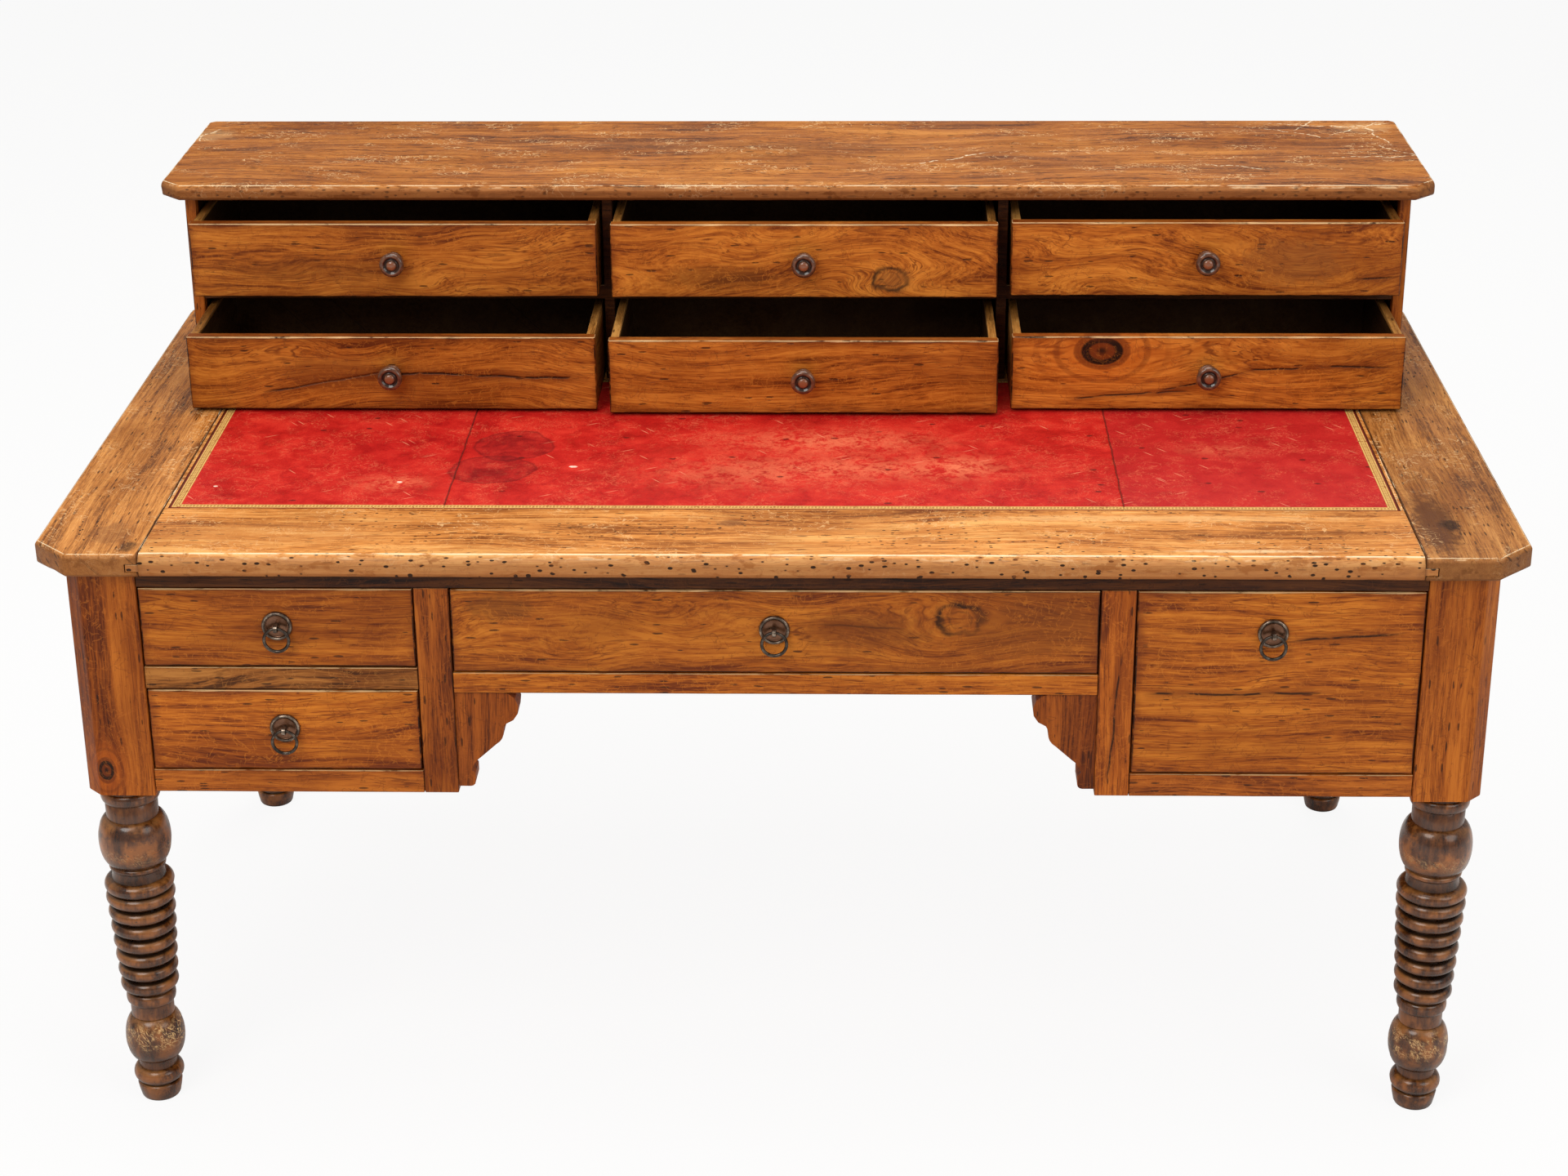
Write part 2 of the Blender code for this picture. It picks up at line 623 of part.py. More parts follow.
def build_gallery():
    """The case on the desk top that holds the small drawers."""
    half = GALLERY_TOP_WIDTH / 2
    low, high = TOP_HEIGHT + SEAT, GALLERY_UNDERSIDE - SEAT
    section = nosed_outline(
        GALLERY_NOSE_Y, TOP_BACK, GALLERY_UNDERSIDE, GALLERY_TOP_Z, GALLERY_NOSE_RADIUS, NOSE_LOWER_RADIUS)
    board = prism(section, 0, -half, half)
    for side in (-1, 1):
        wedge = corner_wedge(side * half, GALLERY_NOSE_Y, GALLERY_CORNER_CUT, GALLERY_UNDERSIDE, GALLERY_TOP_Z)
        board = boolean(board, wedge, "DIFFERENCE")
    place = (GALLERY_SHIFT, 0.0, 0.0)
    add_object("gallery_top", board, WOOD, place)

    for name, side in (("gallery_side_left", -1), ("gallery_side_right", 1)):
        ends = sorted((side * GALLERY_INNER, side * GALLERY_OUTER))
        panel = block((ends[0], GALLERY_FACE_Y, low), (ends[1], GALLERY_BACK_Y, high))
        add_object(name, panel, WOOD, place)

    inner = GALLERY_INNER - SEAT
    back = block((-inner, GALLERY_BACK_FRONT_Y, low), (inner, GALLERY_BACK_Y, high))
    add_object("gallery_back", back, WOOD, place)

    thin = UPRIGHT_THICKNESS / 2

    def inside(x, y, z):
        on_upright = abs(x - LEFT_UPRIGHT_X) < thin or abs(x - RIGHT_UPRIGHT_X) < thin
        return on_upright or SHELF_BOTTOM < z < SHELF_TOP

    divider = grid_solid(
        (-inner, LEFT_UPRIGHT_X - thin, LEFT_UPRIGHT_X + thin,
         RIGHT_UPRIGHT_X - thin, RIGHT_UPRIGHT_X + thin, inner),
        (GALLERY_FACE_Y, GALLERY_BACK_FRONT_Y - SEAT),
        (low, SHELF_BOTTOM, SHELF_TOP, high), inside)
    add_object("gallery_divider", divider, WOOD, place)


def build_drawer(name, left, right, run, front_bottom, front_top, face_y, thickness, length):
    """A drawer's front and box, carried by a guide in the middle of its face."""
    middle = ((left + right) / 2, face_y, (front_bottom + front_top) / 2)
    guide = add_empty(name + "_slide", middle)
    half, tall = (right - left) / 2, (front_top - front_bottom) / 2
    front = block((-half, 0.0, -tall), (half, thickness, tall))
    add_object(name + "_front", front, WOOD, parent=guide)

    wide = half - BOX_GAP
    bottom = run + RUN - middle[2]
    top = tall - BOX_TOP_DROP
    start = thickness + SEAT
    end = start + length

    def inside(x, y, z):
        return z < bottom + BOX_FLOOR or abs(x) > wide - BOX_WALL or y > end - BOX_WALL

    box = grid_solid(
        (-wide, -wide + BOX_WALL, wide - BOX_WALL, wide), (start, end - BOX_WALL, end),
        (bottom, bottom + BOX_FLOOR, top), inside)
    add_object(name + "_box", box, PALE_WOOD, parent=guide)
    return guide


def knob_shape():
    """A turned knob that stands out along -Y from a drawer's front."""
    head = KNOB_LENGTH - KNOB_HEAD_LENGTH
    rim = (head + KNOB_LENGTH) / 2
    step = KNOB_STEP
    profile = [
        (KNOB_TIP_RADIUS, KNOB_LENGTH), (KNOB_BUTTON_RADIUS, KNOB_LENGTH - step),
        (KNOB_BUTTON_RADIUS + step, KNOB_LENGTH - 2 * step), (KNOB_RADIUS - step, KNOB_LENGTH - step),
        (KNOB_RADIUS, rim), (KNOB_RADIUS - step, (rim + head) / 2), (KNOB_NECK_RADIUS, head - step),
        (KNOB_NECK_RADIUS, 3 * step), (KNOB_BASE_RADIUS, 2 * step), (KNOB_BASE_RADIUS, SEAT)]
    shape = turned(profile, KNOB_SEGMENTS)
    bmesh.ops.rotate(shape, verts=shape.verts, cent=Vector(), matrix=Matrix.Rotation(math.pi / 2, 3, "X"))
    return shape


def plate_shape():
    """A round plate with a raised rim and an eye, drawn about the hinge line of its ring."""
    inner = PLATE_RADIUS - PLATE_RIM_WIDTH
    crown = PLATE_THICKNESS + PLATE_RIM_HEIGHT
    profile = [
        (inner - PLATE_RIM_WIDTH / 2, PLATE_THICKNESS), (inner, PLATE_THICKNESS),
        (PLATE_RADIUS - PLATE_RIM_WIDTH / 2, crown), (PLATE_RADIUS, PLATE_THICKNESS / 2), (PLATE_RADIUS, SEAT)]
    plate = turned(profile, KNOB_SEGMENTS)
    bmesh.ops.rotate(plate, verts=plate.verts, cent=Vector(), matrix=Matrix.Rotation(math.pi / 2, 3, "X"))
    bmesh.ops.translate(plate, verts=plate.verts, vec=(0.0, EYE_REACH, 0.0))
    root = EYE_REACH - PLATE_THICKNESS / 2
    outline = [(root, -EYE_RADIUS)] + arc((0.0, 0.0), EYE_RADIUS, 270, 90, 10) + [(root, EYE_RADIUS)]
    plate = boolean(plate, prism(outline, 0, -EYE_WIDTH / 2, EYE_WIDTH / 2), "UNION")
    hole = prism(arc((0.0, 0.0), EYE_HOLE_RADIUS, 0, 330, 11), 0, -EYE_WIDTH, EYE_WIDTH)
    return boolean(plate, hole, "DIFFERENCE")


def ring_shape():
    """A ring that hangs in the XZ plane, drawn about the hinge line at its top."""
    shape = bmesh.new()
    around, about = RING_SEGMENTS, RING_WIRE_SEGMENTS
    loops = []
    for i in range(around):
        turn = 2 * math.pi * i / around
        loop = []
        for j in range(about):
            angle = 2 * math.pi * j / about
            reach = RING_RADIUS + RING_WIRE_RADIUS * math.cos(angle)
            point = (reach * math.sin(turn), RING_WIRE_RADIUS * math.sin(angle),
                     reach * math.cos(turn) - RING_RADIUS)
            loop.append(shape.verts.new(point))
        loops.append(loop)
    for i in range(around):
        following = loops[(i + 1) % around]
        for j in range(about):
            k = (j + 1) % about
            shape.faces.new((loops[i][j], loops[i][k], following[k], following[j]))
    bmesh.ops.recalc_face_normals(shape, faces=shape.faces)
    return shape


def build_ring_pull(name, guide, shift, raise_by):
    """The plate and the loose ring on a base drawer."""
    hinge = (shift, -EYE_REACH, raise_by)
    add_object(name + "_plate", plate_shape(), BRONZE, hinge, guide, smooth=True)
    add_object(name + "_ring", ring_shape(), BRONZE, hinge, guide, smooth=True)


def build_base_drawers():
    """Two drawers on the left, a wide one in the centre and a deep one on the right."""
    half = STILE_WIDTH / 2
    bays = {
        "left_upper": (-POST_INNER_X, LEFT_STILE_X - half, MIDDLE_RAIL_TOP, OPENING_TOP),
        "left_lower": (-POST_INNER_X, LEFT_STILE_X - half, BOTTOM_RAIL_TOP, MIDDLE_RAIL_BOTTOM),
        "centre": (LEFT_STILE_X + half, RIGHT_STILE_X - half, CENTRE_RAIL_TOP, OPENING_TOP),
        "right": (RIGHT_STILE_X + half, POST_INNER_X, BOTTOM_RAIL_TOP, OPENING_TOP)}
    for name, (left, right, run, top) in bays.items():
        guide = build_drawer(
            name, left + FRONT_GAP, right - FRONT_GAP, run, run + FRONT_GAP, top - FRONT_GAP,
            FACE_Y, BASE_FRONT_THICKNESS, BASE_BOX_LENGTH)
        if name == "right":
            front_half = (top - run) / 2 - FRONT_GAP
            build_ring_pull(name, guide, RIGHT_PLATE_SHIFT, front_half - RIGHT_PLATE_DROP)
        else:
            build_ring_pull(name, guide, 0.0, PLATE_RAISE)


def build_gallery_drawers():
    """Three bays of drawers in two rows, left standing open."""
    thin = UPRIGHT_THICKNESS / 2
    edges = (-GALLERY_INNER, LEFT_UPRIGHT_X - thin, LEFT_UPRIGHT_X + thin,
             RIGHT_UPRIGHT_X - thin, RIGHT_UPRIGHT_X + thin, GALLERY_INNER)
    rows = (("upper", SHELF_TOP, UPPER_PULLOUTS), ("lower", TOP_HEIGHT, LOWER_PULLOUTS))
    for row, run, pullouts in rows:
        for bay, column in enumerate(("left", "centre", "right")):
            bottom = run + RUN + FRONT_LIFT
            guide = build_drawer(
                f"gallery_{row}_{column}", GALLERY_SHIFT + edges[2 * bay] + BAY_GAP,
                GALLERY_SHIFT + edges[2 * bay + 1] - BAY_GAP, run, bottom, bottom + GALLERY_FRONT_HEIGHT,
                GALLERY_FACE_Y - pullouts[bay], GALLERY_FRONT_THICKNESS, GALLERY_BOX_LENGTH)
            add_object(f"gallery_{row}_{column}_knob", knob_shape(), DARK_WOOD, parent=guide, smooth=True)


clear_scene()
build_desk_top()
build_legs()
build_frame()
build_brackets()
build_gallery()
build_base_drawers()
build_gallery_drawers()
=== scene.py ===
"""Looks of the library desk: worn boards, turned legs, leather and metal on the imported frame."""
import json
import math

import bmesh
import bpy
from mathutils import Matrix, Vector, noise


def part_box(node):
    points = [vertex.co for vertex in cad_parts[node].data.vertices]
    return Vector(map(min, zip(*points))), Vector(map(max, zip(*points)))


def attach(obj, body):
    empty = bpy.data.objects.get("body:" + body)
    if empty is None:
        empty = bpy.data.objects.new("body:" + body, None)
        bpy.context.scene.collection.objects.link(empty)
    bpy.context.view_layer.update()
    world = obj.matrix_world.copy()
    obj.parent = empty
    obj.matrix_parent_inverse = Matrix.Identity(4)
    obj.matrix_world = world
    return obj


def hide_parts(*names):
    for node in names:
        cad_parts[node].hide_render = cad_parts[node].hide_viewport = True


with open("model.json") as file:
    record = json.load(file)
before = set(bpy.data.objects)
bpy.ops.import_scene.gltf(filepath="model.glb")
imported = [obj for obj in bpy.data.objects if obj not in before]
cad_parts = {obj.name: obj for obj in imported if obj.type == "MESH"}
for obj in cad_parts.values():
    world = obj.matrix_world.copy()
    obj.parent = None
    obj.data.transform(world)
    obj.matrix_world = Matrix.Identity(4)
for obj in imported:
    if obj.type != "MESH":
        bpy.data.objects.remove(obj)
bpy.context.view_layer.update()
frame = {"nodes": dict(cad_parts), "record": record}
NODES = frame["nodes"]
BODY_OF = {n: body for body, names in frame["record"]["behaviour"]["bodies"].items() for n in names}

# Camera, fitted to the photograph
CAMERA_PLACE = Vector((0.0923, -3.6518, 2.1056))
CAMERA_PITCH = math.radians(23.202)
CAMERA_YAW = math.radians(1.540)
CAMERA_ROLL = math.radians(-0.422)
CAMERA_LENS = 67.835

# Lines of the desk, in metres
TOP_HALF = 0.885
TOP_FRONT, TOP_BACK = -0.470, 0.470
TOP_LOW, TOP_HIGH = 0.7515, 0.780
JOINT_X = 0.754
JOINT_GAP = 0.0004
CORNER_CUT = 0.044
TONGUE = (0.7585, 0.7675)
TONGUE_LENGTH = 0.0142
GROOVE_ROOM = 0.0010
LEATHER_X = 0.7485
LEATHER_Y = (-0.318, 0.161)
RECESS_GAP, RECESS_DEPTH = 0.0003, 0.002
SEAMS = (-0.412, 0.416)
SEAM_HALF = 0.0012
POST_HALF = 0.0435
POST_CHAMFER = 0.019
POST_INSET = 0.034
POST_LOW, POST_HIGH = 0.4522, 0.7512
SHAFT_LENGTH, SHAFT_RINGS = 0.1462, 7
BOX_WALL, BOX_FLOOR = 0.0105, 0.0055
HANDLE_SEAT = 0.0003
HINGE_REACH, EYE_ROOT = 0.0100, 0.0023
RING_RADIUS, RING_WIRE = 0.0148, 0.0021

# Edges of plain boards: radius, length between cuts, depth of the wear
SIDE_EDGE = (0.0016, 0.030, 0.0010)
HIDDEN_EDGE = (0.0010, 0.060, 0.0006)
RAIL_EDGE = (0.0012, 0.040, 0.0009)
STILE_EDGE = (0.0012, 0.040, 0.0008)
BRACKET_EDGE = (0.0014, 0.030, 0.0009)
FRONT_EDGE = (0.0020, 0.022, 0.0011)
BOX_EDGE = (0.0008, 0.080, 0.0004)

# Three tones each, from dark to light
FRONT = ((0.130, 0.022, 0.0020), (0.390, 0.098, 0.0075), (0.570, 0.180, 0.0180))
SMALL_FRONT = ((0.128, 0.025, 0.0030), (0.380, 0.106, 0.0110), (0.560, 0.196, 0.0250))
POST = ((0.120, 0.022, 0.0022), (0.350, 0.086, 0.0080), (0.500, 0.145, 0.0160))
STILE = ((0.080, 0.014, 0.0015), (0.260, 0.058, 0.0055), (0.390, 0.105, 0.0110))
BRACKET = ((0.075, 0.014, 0.0020), (0.260, 0.058, 0.0060), (0.360, 0.090, 0.0100))
BAND = ((0.260, 0.075, 0.0120), (0.680, 0.255, 0.0520), (0.860, 0.430, 0.1300))
CLEAT = ((0.140, 0.044, 0.0080), (0.420, 0.158, 0.0340), (0.600, 0.270, 0.0740))
CROWN = ((0.105, 0.026, 0.0035), (0.390, 0.122, 0.0190), (0.560, 0.220, 0.0480))
OLIVE = ((0.075, 0.022, 0.0035), (0.280, 0.092, 0.0160), (0.430, 0.170, 0.0360))
SHADED = ((0.012, 0.003, 0.0008), (0.060, 0.016, 0.0028), (0.110, 0.034, 0.0070))
TURNED = ((0.018, 0.005, 0.0012), (0.098, 0.029, 0.0056), (0.210, 0.070, 0.0140))
RAW = ((0.150, 0.055, 0.0090), (0.400, 0.170, 0.0360), (0.560, 0.280, 0.0720))
KNOB = ((0.050, 0.018, 0.009), (0.120, 0.046, 0.021), (0.260, 0.115, 0.055))
METAL = ((0.060, 0.043, 0.032), (0.170, 0.124, 0.092), (0.420, 0.330, 0.250))
HIDE = ((0.330, 0.004, 0.006), (0.510, 0.013, 0.010), (0.670, 0.036, 0.020))
BLOT = ((0.62, 0.53, 0.42), (0.93, 0.91, 0.88), (1.0, 1.0, 1.0))
# Pale bare wood; on rounded edges that face up it is also a painted highlight
PALE = (0.78, 0.50, 0.24)
# Near black: pores, holes, cracks, knots and joints, and painted shade inside boxes and along rounded edges
BLACK_MARK_AND_SHADE = (0.016, 0.005, 0.0015)


def toned(tones, share):
    """The same tones, all darker or lighter."""
    return tuple(tuple(share * part for part in tone) for tone in tones)


def joined(operation):
    """A method of Number that adds a math node."""
    return lambda *numbers: numbers[0].graph.math(operation, *numbers)


class Number:
    """An output in a node tree. A sum, product or curve of it adds nodes and is a number too."""

    __add__ = joined("ADD")
    __sub__ = joined("SUBTRACT")
    __mul__ = joined("MULTIPLY")
    __truediv__ = joined("DIVIDE")
    __abs__ = joined("ABSOLUTE")
    most = joined("MAXIMUM")
    least = joined("MINIMUM")
    root = joined("SQRT")
    sine = joined("SINE")
    exponent = joined("EXPONENT")

    def __init__(self, graph, socket):
        self.graph, self.socket = graph, socket

    def __rsub__(self, other):
        return self.graph.math("SUBTRACT", other, self)

    def sway(self, reach):
        """Turns a number from 0 to 1 into a move to either side."""
        return (self - 0.5) * reach

    def ease(self, start, end, low=0.0, high=1.0):
        """Smooth step from start to end, onto low to high."""
        inputs = enumerate((self, start, end, low, high))
        return self.graph.node("MapRange", inputs, interpolation_type="SMOOTHSTEP")

    def ridge(self, middle, width):
        """1 where the number crosses the middle, 0 further off than the width."""
        return abs(self - middle).ease(width, 0.0)


class Graph:
    """The node tree of a new material or world."""

    def __init__(self, owner):
        owner.use_nodes = True
        self.owner = owner
        self.nodes, self.links = owner.node_tree.nodes, owner.node_tree.links

    def feed(self, socket, value):
        """Links a number to a socket, or sets the socket; colours come without alpha."""
        if isinstance(value, Number):
            self.links.new(value.socket, socket)
        else:
            socket.default_value = (*value, 1.0) if isinstance(value, tuple) else value

    def node(self, kind, inputs=(), output=0, **settings):
        """Adds a node with these inputs and settings, and hands back one of its outputs."""
        node = self.nodes.new("ShaderNode" + kind)
        for name, setting in settings.items():
            setattr(node, name, setting)
        for key, value in dict(inputs).items():
            self.feed(node.inputs[key], value)
        return Number(self, node.outputs[output])

    def math(self, operation, *values):
        return self.node("Math", enumerate(values), operation=operation)


class Surface(Graph):
    """A material. Its colour is painted in layers, and marks lie in the two coordinates of its face."""

    def __init__(self, name):
        super().__init__(bpy.data.materials.new(name))
        self.shader = self.nodes["Principled BSDF"]
        self.place = self.node("TexCoord", output="Object")
        self.axes = self.split(self.place)
        self.face = self.axes[:2]
        self.colour = None

    def split(self, vector):
        outputs = self.node("SeparateXYZ", {0: vector}).socket.node.outputs
        return [Number(self, output) for output in outputs]

    def stretch(self, parts, scales, shift=0.0):
        """A vector of parts, each times its own scale and moved by a seed; a part may be None."""
        moved = []
        for i, (part, scale) in enumerate(zip(parts, scales)):
            move = shift * (1.0 + 0.37 * i)
            moved.append(move if part is None else self.math("MULTIPLY_ADD", part, scale, move))
        return self.node("CombineXYZ", enumerate(moved))

    def noise(self, scale, detail=2.0, rough=0.5, twist=0.0, place=None):
        return self.node("TexNoise", {"Vector": place or self.place, "Scale": scale, "Detail": detail,
                                      "Roughness": rough, "Distortion": twist})

    def cells(self, place):
        """Distance to the nearest scattered point, and that point's own random value."""
        inputs = {"Vector": place, "Scale": 1.0}
        distance = self.node("TexVoronoi", inputs, "Distance", voronoi_dimensions="2D")
        return distance, self.split(Number(self, distance.socket.node.outputs["Color"]))[0]

    def own(self, name):
        """A value that the mesh carries at its points."""
        return self.node("Attribute", output="Fac", attribute_name=name)

    def normal(self):
        """The parts of the true normal."""
        return self.split(self.node("NewGeometry", output="True Normal"))

    def ramp(self, value, positions, tones):
        colour = self.node("ValToRGB", {0: value})
        elements = colour.socket.node.color_ramp.elements
        elements.new(0.5)
        for element, position, tone in zip(elements, positions, tones):
            element.position = position
            element.color = (*tone, 1.0)
        return colour

    def mix(self, amount, a, b, kind="MIX"):
        return self.node("Mix", {0: amount, 6: a, 7: b}, 2, data_type="RGBA", blend_type=kind)

    def paint(self, mask, tint, amount=None):
        """Lays a tint over the colour where the mask is 1, or an amount of it."""
        self.colour = self.mix(mask if amount is None else mask * amount, self.colour, tint)

    def oval(self, u, v, along, crosswise):
        """Square of the distance from a point of the face, 1 at the reach along or crosswise."""
        a = (self.face[0] - u) / along
        b = (self.face[1] - v) / crosswise
        return a * a + b * b

    def spot(self, *oval):
        """A soft spot, 1 at its centre."""
        return (self.oval(*oval) * -1.0).exponent()

    def polish(self, weight, roughness):
        """A thin clear coat of wax."""
        self.shader.inputs["Coat Weight"].default_value = weight
        self.shader.inputs["Coat Roughness"].default_value = roughness

    def finish(self, roughness, height, depth, strength, shine):
        """Joins the colour, the roughness and a bump to the shader."""
        bump = self.node("Bump", {"Strength": strength, "Distance": depth, "Height": height})
        for key, value in (("Base Color", self.colour), ("Roughness", roughness),
                           ("Specular IOR Level", shine), ("Normal", bump)):
            self.feed(self.shader.inputs[key], value)
        return self.owner


class Wood(Surface):
    """Waxed, worn wood: u runs along its grain, v across it on the face that shows, w into the board.

    roll tells which way the pores run on round an edge.
    """

    def __init__(self, name, grain, tones, seed, across, roll):
        super().__init__(name)
        others = [axis for axis in range(3) if axis != grain]
        across = others[-1] if across is None else across
        others.remove(across)
        self.face_axes = (grain, across)
        self.u, self.v, self.w = self.axes[grain], self.axes[across], self.axes[others[0]]
        self.face = (self.u, self.v)
        self.tones, self.seed = tones, seed
        self.round_edge = self.math("MULTIPLY_ADD", self.w, roll, self.v)
        normal = self.normal()
        self.up = normal[2]
        x, y, z = (abs(part) for part in normal)
        self.edge = x.most(y).most(z).ease(0.985, 0.90)
        self.below = self.up.ease(0.95, 0.60)
        self.cloud = self.field(5.5, 13.0, 1.3, 4.0, 0.62)
        self.chance = self.field(30.0, 70.0, 9.0, 4.0, 0.65)

    def field(self, along, crosswise, shift, detail, rough=0.5, twist=0.0, parts=None):
        """Noise drawn out along the grain; the shift sets one field apart from the next."""
        parts = parts or (*self.face, self.w)
        place = self.stretch(parts, (along, crosswise, crosswise), self.seed + shift)
        return self.noise(1.0, detail, rough, twist, place)

    def scatter(self, along, crosswise, shift):
        """Scattered points that run on round the edge."""
        parts = (self.u, self.round_edge, None)
        return self.cells(self.stretch(parts, (along, crosswise, 1.0), self.seed + shift))

    def lay_figure(self, figure, mottle, bends):
        """Streaks, veins and fibres that bow round knots, with darker blots and lines over them."""
        drift = self.field(2.3, 6.0, 0.0, 2.0) - 0.5
        v = self.math("MULTIPLY_ADD", drift, figure * 2.4, self.v)
        w = self.math("MULTIPLY_ADD", drift, figure, self.w)
        for ku, kv, size in bends:
            v -= (self.v - kv) * self.spot(ku, kv, size * 5.0, size * 2.6) * 0.85
        bent = (self.u, v, w)
        streak = self.field(2.4, 60.0, 0.0, 4.0, 0.58, 0.35, bent)
        self.vein = self.field(9.0, 240.0, 3.1, 3.0, parts=bent)
        self.fibre = self.field(46.0, 760.0, 7.7, 2.0, parts=bent)
        streaks, veins, fibres = 0.44, 0.34, 0.30
        tone = streak * streaks + self.vein * veins + self.fibre * fibres + self.cloud * mottle
        middle = (streaks + veins + fibres + mottle) / 2
        body = self.ramp(tone, (middle - 0.125, middle - 0.012, middle + 0.115), self.tones)
        blots = self.ramp(self.field(3.2, 8.5, 2.6, 3.0, 0.55), (0.33, 0.47, 0.60), BLOT)
        self.colour = self.mix(1.0, body, blots, "MULTIPLY")
        thin = streak.ridge(0.43, 0.010).most(streak.ridge(0.56, 0.012))
        line = (thin * 0.7).most(streak.ridge(0.495, 0.015))
        self.paint(line * self.cloud.ease(0.40, 0.54) * self.vein.ease(0.34, 0.48), self.tones[0], 0.80)

    def add_pores(self, share):
        """Short dark dashes on a share of the scattered points."""
        distance, pick = self.scatter(36.0, 185.0, 0.0)
        size = pick.ease(1.0 - share, 1.0, 0.0, 0.26)
        self.pit = (size - (distance + self.fibre.sway(0.16))).ease(0.0, 0.07)
        self.paint(self.pit, BLACK_MARK_AND_SHADE, 0.75)

    def bore_holes(self, amount):
        """Wormholes in patches. Wide ones are kept for the rounded front edge."""
        distance, pick = self.scatter(72.0, 120.0, 5.0)
        patch = self.math("MULTIPLY_ADD", self.below, 0.30, self.field(7.0, 16.0, 2.0, 2.0))
        chosen = pick.ease(0.58, 0.62) * patch.ease(0.66 - 0.20 * amount, 0.72 - 0.20 * amount)
        hole = distance.ease(0.17, 0.11) * chosen
        self.paint(hole, BLACK_MARK_AND_SHADE, 0.93)
        self.pit = self.pit.most(hole)
        size = pick.ease(0.58, 0.95, 0.10, 0.26)
        self.wide_hole = (size - distance).ease(0.0, 0.07) * chosen * self.below

    def add_knot(self, u, v, size):
        """A dark, ringed knot with a red halo."""
        square = self.oval(u, v, size * 1.45, size)
        core = (square * -1.0).exponent() + self.cloud.sway(0.5)
        halo = self.spot(u, v, size * 3.4, size * 2.1)
        rings = ((square + self.cloud * 0.5).root() * 12.0).sine()
        ringed = (square.root() * 7.0).sine()
        deep = self.mix(rings.ease(-0.4, 0.9), BLACK_MARK_AND_SHADE, self.tones[0])
        self.paint(halo, (0.50, 0.100, 0.006), 0.55)
        self.paint(halo * ringed.ease(0.30, 0.90), self.tones[0], 0.90)
        self.paint(core.ease(0.26, 0.50), deep)

    def add_eye(self, u, v, size):
        """A knot that shows as an uneven dark ring."""
        radius = self.oval(u, v, size * 1.45, size).root() + self.noise(60.0).sway(0.9)
        rim = radius.ridge(1.0, 0.30).most(radius.ridge(0.55, 0.14) * 0.5)
        self.paint(rim, BLACK_MARK_AND_SHADE, self.noise(34.0).ease(0.36, 0.56, 0.52, 0.95))

    def add_crack(self, start, end, level, slope, width):
        """A bent, broken crack from one u to another, at a level of v and with a half width."""
        place = self.stretch((self.u, None, None), (9.0, 1.0, 1.0), self.seed + level)
        course = (self.u - start) * slope + self.noise(1.0, 4.0, place=place).sway(0.016)
        away = abs(self.v - level - course)
        ends = self.u.ease(start, start + 0.03) * self.u.ease(end, end - 0.04)
        broken = self.field(40.0, 90.0, 0.0, 2.0).ease(0.34, 0.50)
        crack = away.ease(width, width * 0.3) * ends * broken
        self.paint(away.ease(width * 6.0, 0.0) * ends, self.tones[0], 0.60)
        self.paint(crack, BLACK_MARK_AND_SHADE, 0.9)
        self.pit = self.pit.most(crack)

    def add_stain(self, u, v, along, crosswise, tint, amount):
        """A ragged patch of another tint."""
        ragged = self.spot(u, v, along, crosswise) + self.noise(70.0, 5.0, 0.7).sway(1.1)
        self.paint(ragged.ease(0.30, 0.85), tint, amount)

    def add_scratch(self, u, v, length, angle):
        """A pale, torn scratch about a middle point."""
        along, off = turned(self.u - u, self.v - v, angle)
        near = abs(off + self.noise(26.0, 3.0).sway(0.030)).ease(0.0016, 0.0006)
        ends = abs(along).ease(length / 2, length / 4)
        torn = self.noise(160.0, 3.0, 0.6).ease(0.42, 0.54)
        self.paint(near * ends * torn, (0.90, 0.74, 0.50), 0.85)

    def add_curls(self, scuff):
        """Fine pale and dark curls all over, and an amount of scuffed ones in patches."""
        curl = self.noise(58.0, 3.0, 0.5, 1.2)
        mark = curl.ridge(0.5, 0.024)
        self.paint(mark * self.cloud.ease(0.60, 0.42), self.tones[2], 0.40)
        if scuff:
            self.paint(mark * self.field(12.0, 22.0, 4.0, 3.0).ease(0.50, 0.62), (0.84, 0.58, 0.30), scuff)
        self.scar = curl.ridge(0.59, 0.020) * self.cloud.ease(0.42, 0.56)
        self.paint(self.scar, self.tones[0], 0.42)

    def dirty_rim(self, low, high):
        """Dirt along the rim of the face between two corners."""
        side, rise = [(part - low[axis]).least(high[axis] - part)
                      for part, axis in zip(self.face, self.face_axes)]
        rim = side.least(rise) + self.cloud.sway(0.030)
        self.paint(rim.ease(0.012, -0.002), self.tones[0], 0.60)

    def add_joint(self, axis, level, width):
        """A dark line where two boards meet, with a half width."""
        seam = abs(self.axes[axis] - level).ease(width, width * 0.4)
        self.paint(seam, BLACK_MARK_AND_SHADE, self.cloud.ease(0.30, 0.50, 0.55, 0.95))

    def wear_nose(self, tint, holes, wear):
        """A front edge tinted with painted shade where it turns from the top, darker below; pale along its
        upper line with worn wood and a painted highlight, rubbed with a painted highlight, and chipped.
        """
        up, chance = self.up, self.chance
        # painted shade: the edge takes the tint where it turns away from the top
        self.paint(self.below, tint, 0.60)
        # painted shade, darker on the lower half of the rounded edge
        self.paint(up.ease(0.45, -0.30), self.tones[0], 0.72)
        self.paint(self.wide_hole, BLACK_MARK_AND_SHADE, min(0.95, 1.15 * holes))
        # pale worn line with a painted highlight along the top arris
        arris = up.ease(0.87, 0.93) * up.ease(0.985, 0.970)
        self.paint(arris * chance.ease(0.36, 0.50), (0.93, 0.76, 0.50), wear)
